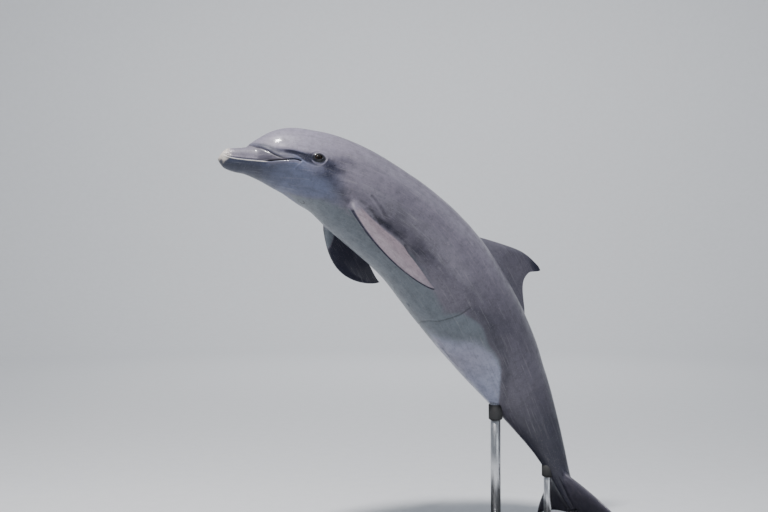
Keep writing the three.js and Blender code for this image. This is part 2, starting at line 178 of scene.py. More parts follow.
def through(table, column, x):
    """A smooth curve through one size of a table of stations."""
    xs, ys = table[:, 0], table[:, column]
    slope = np.empty_like(ys)
    slope[1:-1] = (ys[2:] - ys[:-2]) / (xs[2:] - xs[:-2])
    slope[0] = (ys[1] - ys[0]) / (xs[1] - xs[0])
    slope[-1] = (ys[-1] - ys[-2]) / (xs[-1] - xs[-2])
    i = np.clip(np.searchsorted(xs, x, side="right") - 1, 0, len(xs) - 2)
    h = xs[i + 1] - xs[i]
    t = np.clip((x - xs[i]) / h, 0, 1)
    return ((2 * t**3 - 3 * t**2 + 1) * ys[i] + (t**3 - 2 * t**2 + t) * h * slope[i]
            + (3 * t**2 - 2 * t**3) * ys[i + 1] + (t**3 - t**2) * h * slope[i + 1])


def bell(distance, width):
    return np.exp(-((distance / width) ** 2))


def between(x, start, end, soft):
    """1 from start to end, fading to 0 over that distance outside them."""
    return smooth((x - start) / soft + 1) * smooth((end - x) / soft + 1)


def above_line(line, x, up):
    """How far a place is above a line of the head, square to the line."""
    slope = (through(line, 1, x + 2) - through(line, 1, x - 2)) / 4
    return (up - through(line, 1, x)) / np.sqrt(1 + slope**2)


def off_fold(line, x, angle, around=180.0):
    """Distance in millimetres from a crease given by its places along and round the body."""
    nearest = np.full(len(x), 1000.0)
    for (x1, a1), (x2, a2) in zip(line, line[1:]):
        long, high = x2 - x1, (a2 - a1) * around
        dx, dy = x - x1, (angle - a1) * around
        t = np.clip((dx * long + dy * high) / (long**2 + high**2), 0, 1)
        nearest = np.minimum(nearest, np.hypot(dx - t * long, dy - t * high))
    return nearest


def unit(v):
    return v / np.linalg.norm(v, axis=-1, keepdims=True)


# ------------------------------------------------------------------ spine and skin surface


def heading(bends, x):
    start, changes = bends
    return np.radians(start + sum(d * smooth((x - a) / (b - a)) for a, b, d in changes))


def axes_at(x):
    """Along, up and left of the body at places on the spine."""
    x = np.asarray(x, float)
    pitch, yaw, roll = heading(NOSE_DOWN, x), heading(SWING_AWAY, x), heading(BACK_AWAY, x)
    cp, sp, cy, sy = np.cos(pitch), np.sin(pitch), np.cos(yaw), np.sin(yaw)
    along = np.stack([cp * cy, sy, -sp * cy], -1)
    upright = np.stack([sp, np.zeros_like(sp), cp], -1)
    away = np.cross(upright, along)
    cr, sr = np.cos(roll)[..., None], np.sin(roll)[..., None]
    return along, upright * cr + away * sr, upright * sr - away * cr


SPINE_X = np.arange(0.0, LENGTH + 105.0, SPINE_STEP)
SPINE = SNOUT_TIP + np.vstack([
    np.zeros(3), np.cumsum(axes_at(SPINE_X[:-1] + SPINE_STEP / 2)[0] * SPINE_STEP, axis=0)])


def centre_at(x):
    return np.stack([np.interp(x, SPINE_X, SPINE[:, k]) for k in range(3)], -1)


def body_point(x, left, up):
    """A point in millimetres from its place along, to the left of and above the spine."""
    x = np.asarray(x, float)
    _, body_up, body_left = axes_at(x)
    return centre_at(x) + body_left * np.asarray(left)[..., None] + body_up * np.asarray(up)[..., None]


def section_radius(table, x, angle, n):
    side = np.maximum(through(table, 3, x), 0.01)
    tall = np.maximum(np.where(np.sin(angle) > 0, through(table, 1, x), through(table, 2, x)), 0.01)
    return (np.abs(np.cos(angle) / side) ** n + np.abs(np.sin(angle) / tall) ** n) ** (-1 / n)


def snout_closing(x):
    return np.sqrt(1 - (1 - np.clip(x / SNOUT_ROUNDING, 0, 1)) ** 2)


def radius_at(x, angle):
    """From the spine to the skin: the beak and the body with its melon, blended."""
    n = through(FULLNESS, 1, x)
    closing = snout_closing(x)
    fading = (1 - 0.1 * smooth((x - 250) / 150)) * (1 - smooth((x - 420) / 200))
    beak = section_radius(JAWS, np.minimum(x, JAWS[-1, 0]), angle, n) * closing * fading
    body = section_radius(BODY, np.maximum(x, BODY[0, 0]), angle, n) * smooth((x - 70) / 10)
    blend = np.clip(5 + (x - 112) * 0.085, 5, 30) * (1 - smooth((x - 400) / 100)) + 1
    h = np.clip(0.5 + 0.5 * (beak - body) / blend, 0, 1)
    return body + (beak - body) * h + blend * h * (1 - h)


def mirrored(angle, side):
    """An angle given for the left side, on the left (1) or the right (-1)."""
    return angle if side > 0 else math.pi - angle


def skin_point(x, angle, extra=0.0):
    r = radius_at(np.asarray(x, float), np.asarray(angle, float)) + extra
    return body_point(x, r * np.cos(angle), r * np.sin(angle))


# ------------------------------------------------------------------ mesh makers


def mesh_object(name, points_mm, faces):
    mesh = bpy.data.meshes.new(name)
    mesh.from_pydata([tuple(p) for p in np.asarray(points_mm) * MM], [], faces)
    mesh.validate()
    mesh.update()
    obj = bpy.data.objects.new(name, mesh)
    bpy.context.scene.collection.objects.link(obj)
    return obj


def shade_smooth(obj):
    obj.data.polygons.foreach_set("use_smooth", [True] * len(obj.data.polygons))


def face_outwards(obj):
    bm = bmesh.new()
    bm.from_mesh(obj.data)
    bmesh.ops.remove_doubles(bm, verts=bm.verts, dist=1e-6)
    bmesh.ops.recalc_face_normals(bm, faces=bm.faces)
    if bm.calc_volume(signed=True) < 0:
        bmesh.ops.reverse_faces(bm, faces=bm.faces)
    bm.to_mesh(obj.data)
    bm.free()
    shade_smooth(obj)


def band_faces(count, size, closed=False):
    """Faces between neighbouring rings of points, and from the last to the first if closed."""
    faces = []
    for ring in range(count if closed else count - 1):
        here, there = ring * size, (ring + 1) % count * size
        for k in range(size):
            n = (k + 1) % size
            faces.append((here + k, here + n, there + n, there + k))
    return faces


def circle_rings(profile, sides, x=0.0, y=0.0):
    """Rings round an upright axis, from (radius, height) points in metres."""
    turn = np.linspace(0, 2 * math.pi, sides, endpoint=False)
    return [np.stack([x + r * np.cos(turn), y + r * np.sin(turn), np.full(sides, z)], -1) / MM
            for r, z in profile]


def closed_rings(name, rings, start, end):
    """A closed skin over rings of equal size, with a pole at each end."""
    count, size = len(rings), len(rings[0])
    points = np.vstack([np.concatenate(rings), start, end])
    faces = band_faces(count, size)
    first, last, tail = count * size, count * size + 1, (count - 1) * size
    faces += [(first, (k + 1) % size, k) for k in range(size)]
    faces += [(last, tail + k, tail + (k + 1) % size) for k in range(size)]
    obj = mesh_object(name, points, faces)
    face_outwards(obj)
    return obj


def mesh_points(obj):
    out = np.empty(len(obj.data.vertices) * 3)
    obj.data.vertices.foreach_get("co", out)
    return out.reshape(-1, 3) / MM


def set_points(obj, points_mm):
    obj.data.vertices.foreach_set("co", (np.asarray(points_mm) * MM).ravel())
    obj.data.update()


def mesh_normals(obj):
    out = np.empty(len(obj.data.vertices) * 3)
    obj.data.vertices.foreach_get("normal", out)
    return out.reshape(-1, 3)


def applied(obj):
    """Works the object's modifiers into its mesh."""
    graph = bpy.context.evaluated_depsgraph_get()
    graph.update()
    mesh = bpy.data.meshes.new_from_object(obj.evaluated_get(graph))
    obj.modifiers.clear()
    obj.data = mesh


def remove(obj):
    bpy.data.objects.remove(obj, do_unlink=True)


# ------------------------------------------------------------------ body


def ring_places(spacing):
    """Places of the body's rings, closest together where the head's features are."""
    places = [0.6, 2, 4, 6.5, 9, 12, 15, 18, 21, 24, 27]
    for start, end, step in ((30, 108, 3), (108, 222, 2.2), (222, 300, 3), (300, 400, 2), (400, 480, 4),
                             (480, 700, 7), (700, 1170, 11), (1170, 1240, 3.5), (1240, TAIL_END, 11)):
        places += list(np.arange(start, end, step * spacing))
    return np.array(places + [TAIL_END])


def ring_angles(count):
    """Angles round half the body, closest together along the mouth and the eye."""
    fine = np.linspace(-math.pi / 2, math.pi / 2, 2001)
    density = 1 + 2.4 * bell(fine + 0.1, 0.26)
    total = np.concatenate([[0], np.cumsum((density[1:] + density[:-1]) / 2)])
    half = np.interp(np.linspace(0, total[-1], count + 1), total, fine)
    return np.concatenate([half, math.pi - half[-2:0:-1]])


def jaw_tips(x, angle, points):
    """Parts the rounded tips of the two jaws, the upper one behind the lower one's."""
    along, body_up, _ = axes_at(x)
    closed = snout_closing(x)
    upper = smooth((np.arcsin(np.sin(angle)) + 0.3) / 0.9)
    lift = (1 - closed) * (upper * (UPPER_TIP_UP + LOWER_TIP_DOWN) - LOWER_TIP_DOWN)
    above = radius_at(x, angle) * np.sin(angle) + lift - through(MOUTH, 1, x)
    share = upper + (smooth(above / 5 + 0.3) - upper) * closed
    back = (LOWER_JAW_SHORTER + UPPER_JAW_SHORTER * share) * (1 - smooth((x - 4) / 80))
    return points + along * back[..., None] + body_up * lift[..., None]


def face_relief(x, angle, up):
    """Height of the lips, the melon's crease and brow, and the folds by the mouth and the eye."""
    gap = above_line(MOUTH, x, up)
    lips = between(x, 26, MOUTH_CORNER - 5, 8)
    rear = smooth((x - 160) / 30)
    relief = lips * (-(2.0 + 3.2 * rear) * bell(gap, 1.5 + 0.6 * rear) + 1.6 * bell(gap + 4.6, 3.0)
                     + 1.8 * rear * bell(gap + 13, 8) + 0.8 * bell(gap - 4.5, 3.5))
    crease = above_line(CREASE, x, up)
    on_side = between(x, 112, 214, 20) * (1 - 0.6 * smooth((up - 40) / 14))
    groove = 0.9 * bell(crease - 6.5, 5) - 3.2 * bell(crease + 0.8, 2.3)
    relief += on_side * groove * smooth((gap + 3) / 6)
    brow = above_line(BROW, x, up)
    relief += between(x, 225, 305, 40) * (1.3 * bell(brow - 8, 9) - 1.8 * bell(brow + 10, 11))
    relief += 1.5 * bell(above_line(CORNER_RIDGE, x, up), 3.2) * between(x, 262, 300, 9)
    fold = above_line(CORNER_FOLD, x, up)
    relief += between(x, 266, 290, 9) * (0.8 * bell(fold, 3.5) - 0.6 * bell(fold - 7, 3.5))
    relief -= 1.1 * bell(above_line(LID_FOLD, x, up), 2.4) * between(x, 308, 356, 14)
    relief += 2.5 * bell(angle + 0.42, 0.22) * bell(x - 275, 70)
    knobs = np.sin(x / 2.5 + 2.2 * angle) * np.sin(6.5 * angle + 1) + 0.6 * np.sin(x / 1.7 - 4.2 * angle)
    relief += 0.9 * knobs * smooth((x - 6) / 8) * (1 - smooth((x - 30) / 30)) * smooth((gap + 3) / 4)
    return relief


def trunk_relief(x, angle):
    """Height of the folds of the throat, the flippers' roots and the belly."""
    relief = -2.0 * bell(off_fold(BELLY_CREASE, x, angle), 4.5)
    for line, depth, width in TRUNK_FOLDS:
        off = off_fold(line, x, angle)
        relief += 0.45 * depth * bell(off - 1.9 * width, width) - depth * bell(off, width)
    return relief


def ripple(points, size, seed):
    """Gentle unevenness, from -1 to 1, of that size in millimetres."""
    offset = Vector((seed * 7.1, seed * 3.7, seed * 1.3))
    return np.array([noise.noise(Vector(p) / size + offset) for p in points])


def eye_frame(side):
    """The eye's middle on the skin, and the directions ahead of it, over it and out of it."""
    angle = mirrored(EYE_ANGLE, side)
    middle = skin_point(EYE_AT, angle)
    ahead = skin_point(EYE_AT - 6, angle) - skin_point(EYE_AT + 6, angle)
    over = skin_point(EYE_AT, angle + side * 0.05) - skin_point(EYE_AT, angle - side * 0.05)
    ahead, over = unit(ahead), unit(over)
    out = unit(np.cross(ahead, over)) * side
    if np.dot(out, middle - centre_at(EYE_AT)) < 0:
        out = -out
    return middle, ahead, over, out


def eye_relief(points, side, opening, height):
    """Lids raised over the eyeball round an opening that drops away behind it."""
    middle, ahead, over, out = eye_frame(side)
    rel = points - middle
    a, b = rel @ ahead, rel @ over
    b = b + 0.10 * a
    near = np.hypot(a, b) < 75
    half_high = height * np.where(b > 0, 1.0, 0.86)
    ring = np.hypot(a / opening, b / half_high)
    bulge = -EYE_SUNK + EYE_RADIUS * np.sqrt(np.clip(1 - (np.hypot(a, b) / 23) ** 2, 0, 1)) + 1.8
    relief = np.maximum(bulge, 0) * smooth((2.5 - ring) / 1.5)
    relief += 0.6 * bell(ring - 1.12, 0.14) + 0.6 * bell(ring - 1.5, 0.25)
    relief -= 0.9 * bell(ring - 1.85, 0.16) * smooth((b + 14) / 12)
    relief -= 1.0 * bell(ring - 1.95, 0.18) * smooth((2 - b) / 12)
    relief += 0.8 * bell(ring - 2.35, 0.25) - 0.4 * bell(ring - 2.8, 0.2)
    inside = smooth((1.02 - ring) / 0.3)
    relief = relief * (1 - inside) - 9 * inside
    relief *= (1 - smooth((np.hypot(a, b) - 45) / 25))
    reach = near & (np.abs(rel @ out) < 40)
    return np.where(reach, relief, 0.0), out


def body_mesh():
    places = ring_places(1.0)
    angles = ring_angles(96)
    rings = []
    for x in places:
        xs = np.full(len(angles), x)
        rings.append(jaw_tips(xs, angles, skin_point(xs, angles)))
    return closed_rings("skin", rings, body_point(9.0, 0.0, -5.0), body_point(TAIL_END + 6, 0.0, 0.0))


def body_places(points):
    """Where points lie on the animal: along its spine, to its left and above it."""
    coarse = np.empty(len(points), int)
    batch, skip = 4000, 4
    for start in range(0, len(points), batch):
        part = points[start:start + batch]
        away = ((part[:, None, :] - SPINE[None, ::skip]) ** 2).sum(-1)
        coarse[start:start + batch] = away.argmin(1) * skip
    x = SPINE_X[np.clip(coarse, 0, len(SPINE_X) - 1)]
    for _ in range(3):
        x = np.clip(x + ((points - centre_at(x)) * axes_at(x)[0]).sum(-1), 0, SPINE_X[-1])
    _, up, left = axes_at(x)
    rel = points - centre_at(x)
    return x, (rel * left).sum(-1), (rel * up).sum(-1)


def refine(obj, centre, reach, cuts):
    """Divides the faces near a point more finely."""
    bm = bmesh.new()
    bm.from_mesh(obj.data)
    middle = Vector(centre) * MM
    edges = [e for e in bm.edges if all((v.co - middle).length < reach * MM for v in e.verts)]
    bmesh.ops.subdivide_edges(bm, edges=edges, cuts=cuts, use_grid_fill=True)
    bm.to_mesh(obj.data)
    bm.free()


def blowhole_relief(points):
    """A crescent slit, hollow side forward, in a low mound."""
    middle = skin_point(BLOWHOLE_AT, math.pi / 2)
    along, up, left = axes_at(BLOWHOLE_AT)
    rel = points - middle
    a, b, h = rel @ along, rel @ left, rel @ up
    turn = np.arctan2(b, a + 3)
    off_arc = np.abs(np.hypot(a + 3, b) - 13)
    past_end = np.maximum(np.abs(turn) - 1.35, 0) * 13
    slit = np.hypot(off_arc, past_end)
    relief = -7 * bell(slit, 2.0) + 1.6 * bell(slit - 5, 4) - 1.5 * bell(np.hypot(a, b) - 30, 6)
    return np.where((h > -30) & (np.hypot(a, b) < 60), relief, 0.0), slit


def slit_relief(x, left, up):
    """The navel, the long slit and the small one behind it, along the middle of the belly."""
    (start, end), (small_start, small_end) = LONG_SLIT, SMALL_SLIT
    relief = -3.6 * bell(left, 2.6) * smooth((x - start) / 12) * smooth((end - x) / 12)
    relief += 1.4 * bell(np.abs(left) - 9, 6) * smooth((x - start + 10) / 25) * smooth((end + 12 - x) / 25)
    relief -= 3.0 * bell(left, 2.6) * smooth((x - small_start) / 8) * smooth((small_end - x) / 8)
    from_navel = np.hypot(left, (x - NAVEL_AT) * 0.7)
    relief -= 3.0 * bell(from_navel, 7)
    relief += 1.3 * bell(from_navel - 13, 5)
    return np.where(up < 0, relief, 0.0)


# ------------------------------------------------------------------ fins


def foil(c):
    return 10 * (0.2969 * np.sqrt(c) - 0.126 * c - 0.3516 * c**2 + 0.2843 * c**3 - 0.1036 * c**4)


def fin_mesh(name, start, lead, trail, half, place):
    """A fin from its edges and thickness, each a function of how far out it is."""
    detail = 1.0
    rows, across = int(44 * detail), int(26 * detail)
    rings = []
    for s in np.linspace(0, 1, rows):
        t = start + (1 - start) * (1 - (1 - s) ** 1.6)
        c = (1 - np.cos(math.pi * np.linspace(0, 1, across))) / 2
        c = np.concatenate([c, c[:0:-1]])
        side = np.concatenate([np.ones(across), -np.ones(across - 1)])
        front, back = lead(t), trail(t)
        rings.append(place(t, front + (back - front) * c, side * (half(t) * foil(c) + FIN_EDGE * c)))
    return closed_rings(name, rings, rings[0].mean(0), rings[-1].mean(0))


def dorsal_fin():
    f = DORSAL_FIN
    return fin_mesh(
        "dorsal", -0.3,
        lambda t: (f["front"] + f["lean"] * (0.78 * t + 0.22 * max(t, 0) ** 12)
                   - 2 * smooth((t - 0.985) / 0.015)),
        lambda t: (f["hollow"] + (f["back"] - f["hollow"]) * math.exp(-((t / 0.33) ** 2)) * (1 - min(t, 0))
                   + (f["tip"] - f["hollow"]) * smooth((t - 0.7) / 0.3)),
        lambda t: 19 * (1 - max(t, 0)) + 3 + 11 * math.exp(-max(t, 0) / 0.13),
        lambda t, x, thick: body_point(x, thick, through(BODY, 1, x) + t * f["height"]))


def fluke(side):
    f = FLUKE
    return fin_mesh(
        "fluke", 0.0,
        lambda t: f["front"] + (f["tip"] - 18 - f["front"]) * t**1.25 + 14 * t**8,
        lambda t: LENGTH + 22 * (1 - math.exp(-t / 0.06)) - 14 * math.sin(math.pi * t) + 20 * t**3,
        lambda t: 13 * (1 - t) + 3 + 9 * math.exp(-t / 0.1),
        lambda t, x, thick: body_point(x, np.full_like(x, side * (t * f["reach"] - 1.5)), thick))


def flipper_frame(kind):
    """A flipper's root, and the directions along it, across it, out of its outer face and inward."""
    side, blade = kind["side"], kind["blade"]
    root = skin_point(FLIPPER["at"], mirrored(FLIPPER["angle"], side), -2)
    inward = unit(centre_at(FLIPPER["at"]) - root)
    along, body_up, body_left = axes_at(FLIPPER["at"] + 56.0)
    span = unit(kind["aft"] * along + side * kind["out"] * body_left + kind["up"] * body_up)
    chord = blade[0] * along + side * blade[1] * body_left + blade[2] * body_up
    chord = unit(chord - np.dot(chord, span) * span)
    return root, span, chord, side * np.cross(span, chord), inward


def flipper_lead(t):
    return -FLIPPER["bulge"] * abs(math.sin(math.pi * min(max(0.1 + 0.9 * t, 0), 1) ** 1.2)) ** 0.6


def flipper_trail(t):
    f = FLIPPER
    return (f["behind"] * (1 - smooth((t - 0.5) / 0.5)) + f["bump"] * bell(t - f["bump_at"], 0.1)
            + 12 * math.exp(-max(t, 0) / 0.1) + 8 * math.sin(math.pi * min(max((t - 0.6) / 0.4, 0), 1)))


def flipper_bend(t, curve):
    """How far the blade is bent backwards in its own plane."""
    t = np.clip(t, 0, 1)
    return curve * np.sin(math.pi * t) + FLIPPER["sweep"] * t**2


def flipper(kind):
    root, span, chord, face, inward = flipper_frame(kind)
    length = FLIPPER["length"]

    def place(t, c, thick):
        sink = -min(t, 0) * length
        return (root + span * t * length + inward * sink
                + np.outer(c + flipper_bend(t, kind["curve"]), chord) + np.outer(thick, face))

    return fin_mesh("flipper", FLIPPER_SUNK, flipper_lead, flipper_trail,
                    lambda t: 10 * (1 - max(t, 0)) + 3 + 8 * math.exp(-max(t, 0) / 0.12), place)


# ------------------------------------------------------------------ one skin


def tree_of(obj):
    mesh = obj.data
    points = [v.co.copy() for v in mesh.vertices]
    return BVHTree.FromPolygons(points, [tuple(p.vertices) for p in mesh.polygons])


def distances(tree, points_mm, limit):
    """Distance to a surface in millimetres, up to a limit."""
    out = np.full(len(points_mm), float(limit))
    for i, p in enumerate(points_mm):
        hit = tree.find_nearest(Vector(p) * MM, limit * MM)
        if hit[0] is not None:
            out[i] = hit[3] / MM
    return out


def join_fin(body, fin):
    joint = body.modifiers.new("join", "BOOLEAN")
    joint.operation = "UNION"
    joint.solver = "EXACT"
    joint.object = fin
    applied(body)


def fillet(obj, body_tree, fin_tree, blend):
    """Rounds the crease between the body and a fin, out to that distance."""
    points = mesh_points(obj)
    to_fin = distances(fin_tree, points, blend)
    near = np.nonzero(to_fin < blend)[0]
    to_body = distances(body_tree, points[near], blend)
    near = near[to_body < blend]
    for _ in range(4):
        normals = mesh_normals(obj)[near]
        a = distances(body_tree, points[near], blend * 2)
        b = distances(fin_tree, points[near], blend * 2)
        h = np.clip(blend - np.abs(a - b), 0, None) / blend
        points[near] -= normals * (np.minimum(a, b) - blend / 4 * h * h)[:, None] * 0.8
        set_points(obj, points)
    return near


def relax(obj, chosen, rounds):
    """Evens out the mesh among the chosen points."""
    bm = bmesh.new()
    bm.from_mesh(obj.data)
    bm.verts.ensure_lookup_table()
    verts = [bm.verts[int(i)] for i in chosen]
    for _ in range(rounds):
        bmesh.ops.smooth_vert(bm, verts=verts, factor=0.5,
                              use_axis_x=True, use_axis_y=True, use_axis_z=True)
    bm.to_mesh(obj.data)
    bm.free()


def merged_skin(settings):
    """The body and its fins as one skin, with the face, folds and slits worked in."""
    body = body_mesh()
    set_relief(body, settings)
    body_tree = tree_of(body)
    fins = [dorsal_fin(), fluke(1), fluke(-1)] + [flipper(kind) for kind in FLIPPERS]
    trees = [tree_of(fin) for fin in fins]
    for fin in fins:
        join_fin(body, fin)
    for tree, blend in zip(trees, FIN_BLENDS):
        near = fillet(body, body_tree, tree, blend)
        relax(body, near, 5)
    points = mesh_points(body)
    to_fins = [distances(tree, points, FIN_REACH) for tree in trees]
    from_body = distances(body_tree, points, FIN_REACH)
    for fin in fins:
        remove(fin)
    return body, to_fins, from_body


# Where the mesh is finest: (at, angle round, reach, cuts).
FINE_SPOTS = ((BLOWHOLE_AT, math.pi / 2, 34, 3),
              *((at, -math.pi / 2, 24, 2) for at in (1300, 1340, 1380, 1420, 1460, 1490, NAVEL_AT)),
              *((625, mirrored(-0.66, side), 82, 1) for side in (1, -1)))


def set_relief(body, settings):
    """Works the face, folds, slits, blowhole, unevenness and eyelids into the body."""
    for at, angle, reach, cuts in FINE_SPOTS:
        refine(body, skin_point(at, angle), reach, cuts)
    points = mesh_points(body)
    x, left, up = body_places(points)
    angle = np.arctan2(up, np.abs(left))
    relief = face_relief(x, angle, up) * (x < HEAD_END)
    relief += trunk_relief(x, angle)
    relief += slit_relief(x, left, up)
    relief += blowhole_relief(points)[0]
    soft = smooth((x - 320) / 200) * (1 - smooth((x - 1900) / 200))
    relief += soft * (1.6 * ripple(points, 120, 1) + 0.6 * ripple(points, 42, 2))
    normals = mesh_normals(body)
    points = points + normals * relief[:, None]
    for side in (1, -1):
        lids, out = eye_relief(points, side, settings.opening_long / 2 / MM, settings.opening_high / 2 / MM)
        points = points + np.outer(lids, out)
    set_points(body, points)


# ------------------------------------------------------------------ markings, painted shade and reflections

# The back's lightness along the body: (at, lightness).
BACK_TONE = np.array([
    (0, 0.72), (110, 0.76), (200, 0.80), (330, 0.80), (430, 0.67), (560, 0.58), (760, 0.58),
    (1050, 0.66), (1200, 0.58), (1400, 0.42), (1650, 0.40), (1850, 0.08), (2200, 0.06),
], float)
# Where the pale belly's upper edge runs: (at, angle round).
BELLY_EDGE = np.array([
    (300, -1.50), (345, -1.30), (434, -1.02), (533, -0.92), (700, -0.94), (1069, -0.93),
    (1183, -0.98), (1220, -0.76), (1309, -0.58), (1388, -0.66), (1488, -0.64),
    (1582, -1.01), (1659, -1.40), (1720, -1.66), (2200, -1.7),
], float)
# Dark smudges from the eye back to the flipper, and, from 600 mm on, painted shade round and behind the
# flipper: (at, angle round, half length, half height, strength).
SMUDGES_AND_SHADE = ((379, -0.04, 26, 0.14, 0.75), (402, -0.13, 36, 0.15, 0.85), (440, -0.15, 36, 0.12, 0.5),
           (404, -0.34, 42, 0.17, 0.5), (372, -0.38, 34, 0.13, 0.3), (436, -0.50, 42, 0.13, 0.45),
           (468, -0.63, 36, 0.10, 0.5), (504, -0.72, 32, 0.08, 0.6), (536, -0.79, 26, 0.06, 0.6),
           (446, 0.10, 60, 0.18, 0.55), (628, -0.40, 50, 0.14, 0.32), (865, -0.56, 60, 0.13, 0.32),
           (623, -0.66, 30, 0.06, 0.45), (667, -0.74, 36, 0.07, 0.7), (712, -0.76, 36, 0.07, 0.6),
           (752, -0.76, 40, 0.08, 0.45), (792, -0.76, 34, 0.08, 0.45), (732, -0.40, 48, 0.13, 0.4),
           (732, -0.60, 50, 0.14, 0.3), (872, -0.76, 50, 0.10, 0.45), (925, -0.72, 60, 0.15, 0.45),
           (1010, -0.62, 90, 0.20, 0.4))


def add_value(obj, name, values):
    layer = obj.data.attributes.new(name, "FLOAT", "POINT")
    layer.data.foreach_set("value", np.clip(values, 0, 1).astype(np.float32))


def blend_in(tone, amount, value):
    return tone + (value - tone) * np.clip(amount, 0, 1)


def face_marks(marks, x, angle, up, wave):
    """The head's markings: mouth, lips, crease, brow, cheeks, eye patch and smudge, with painted shade under
    the jaw, under the melon, round the eye, in the slits and creases and round the flipper, and a painted
    blue reflection on the cheeks.
    """
    gap = above_line(MOUTH, x, up)
    crease = above_line(CREASE, x, up)
    brow = above_line(BROW, x, up)
    lips = between(x, 22, MOUTH_CORNER - 6, 6)
    rear = smooth((x - 166) / 16)

    beak = (1 - smooth((crease + 1) / 3)) * smooth((gap + 1) / 2) * (1 - smooth((x - 244) / 12))
    below_brow = (1 - smooth((brow + 4) / 10)) * smooth((x - 105) / 20) * (1 - beak)
    below_brow = np.maximum(below_brow, smooth((1 - gap) / 2))
    cheek = below_brow * (1 - smooth((x - 318 + 110 * angle) / 130))
    tone = marks["tone"]
    tone = blend_in(tone, beak * smooth((x - 30) / 20), 0.62)
    tone = blend_in(tone, 0.9 * cheek, 0.46 + 0.12 * smooth((x - 230) / 60) * smooth((angle + 1.0) / 0.5))
    # painted shade: the underside of the lower jaw is darkened
    shaded_jaw = cheek * smooth((-gap - 5) / 5) * (1 - smooth((x - 135 - 40 * wave) / 110))
    tone = blend_in(tone, shaded_jaw, 0.18)
    lip_band = bell(gap + 8, 5.5) * rear * lips
    front_of_brow = smooth(gap / 6) * (1 - smooth((x - 225) / 60))
    by_eye = 0.8 * bell(np.hypot((x - 345) / 55, (angle + 0.22) / 0.24), 1)
    # the grey of the cheeks and throat, with a painted blue reflection of water and sky
    marks["cheek_and_reflection"] = cheek * (1 - 0.7 * np.maximum.reduce([lip_band, front_of_brow, by_eye]))
    tone = blend_in(tone, 0.85 * lip_band, 0.70)
    ridge = bell(above_line(CORNER_RIDGE, x, up), 3.5) * between(x, 262, 304, 9)
    ridge = np.maximum(ridge, 0.3 * bell(above_line(CORNER_FOLD, x, up), 4) * between(x, 268, 290, 10))
    tone = blend_in(tone, 0.8 * ridge, 0.72)
    # the dark eye stripe under the brow, with painted shade where the melon overhangs it
    under = smooth((4 - brow) / 6) * (1 - smooth((-brow - 9 - 12 * smooth((x - 262) / 40)) / 14))
    stripe_and_shade = under * between(x, 240, 322, 46) * (0.6 + 0.4 * smooth((x - 200) / 60))
    lore = smooth((4 - brow) / 8) * smooth((gap - 1) / 4) * between(x, 150, 300, 36)
    front = np.hypot((x - 321) / 25, (up - 4) / 17)
    marks["dark"] = np.maximum.reduce([stripe_and_shade, 0.45 * lore, bell(front, 1)])

    across, tall = x - EYE_AT - 1, up - 3.5
    socket = np.hypot(across / 23.5, tall / np.where(tall > 0, 20, 19.5))
    halo = bell(np.hypot(across / 28.5, tall / 25) - 1, 0.10) * smooth((across * 0.6 - tall + 10) / 16)
    # the smudges, and the painted shade round and behind the flipper
    smudges_and_shade = np.zeros_like(x)
    for at, around, wide, high, strength in SMUDGES_AND_SHADE:
        spot = bell(np.hypot((x - at) / wide, (angle - around) / high), 1)
        smudges_and_shade = blend_in(smudges_and_shade, strength * spot, 1)
    smudges_and_shade *= 1 + 0.3 * wave
    marks["dark"] = np.maximum(marks["dark"], smudges_and_shade)
    marks["tone"] = blend_in(tone, 0.6 * halo, 0.66)
    marks["cheek_and_reflection"] *= 1 - 0.7 * halo
    marks["dark"] *= 1 - 0.8 * halo
    # the eye's dark inner lids, with painted shade round the opening
    marks["socket"] = 1 - smooth((socket - 0.90) / 0.2)

    upper_tip = smooth((gap + 1) / 3) * (1 - smooth((x - 25 - 10 * wave) / 44))
    reach = 6 + 16 * smooth((gap + 30) / 26) + 7 * wave
    lower_tip = (1 - smooth((x - reach) / 32)) * smooth((gap + 48 + 6 * wave) / 36)
    lip_line = bell(gap + 4.2, 2.1) * lips * (1 - 0.8 * rear) * smooth((x - 20) / 8)
    marks["cream"] = np.maximum.reduce([upper_tip, lower_tip * (gap < 1), lip_line])
    # painted shade in the mouth's slit, the melon's crease, the lid's fold and the ear's hole
    slit = bell(gap, 1.7 + 1.4 * rear) * lips * (0.45 + 0.55 * rear)
    fold = 0.75 * bell(crease + 0.6, 2.0) * between(x, 118, 214, 16) * smooth((gap - 1) / 3)
    lid_fold = 0.4 * bell(above_line(LID_FOLD, x, up), 2.2) * between(x, 308, 350, 12)
    ear = bell(np.hypot(x - EYE_AT - 62, (angle + 0.07) * 145), 2.6)
    marks["crease_shade"] = np.maximum.reduce([slit, fold, lid_fold, ear])


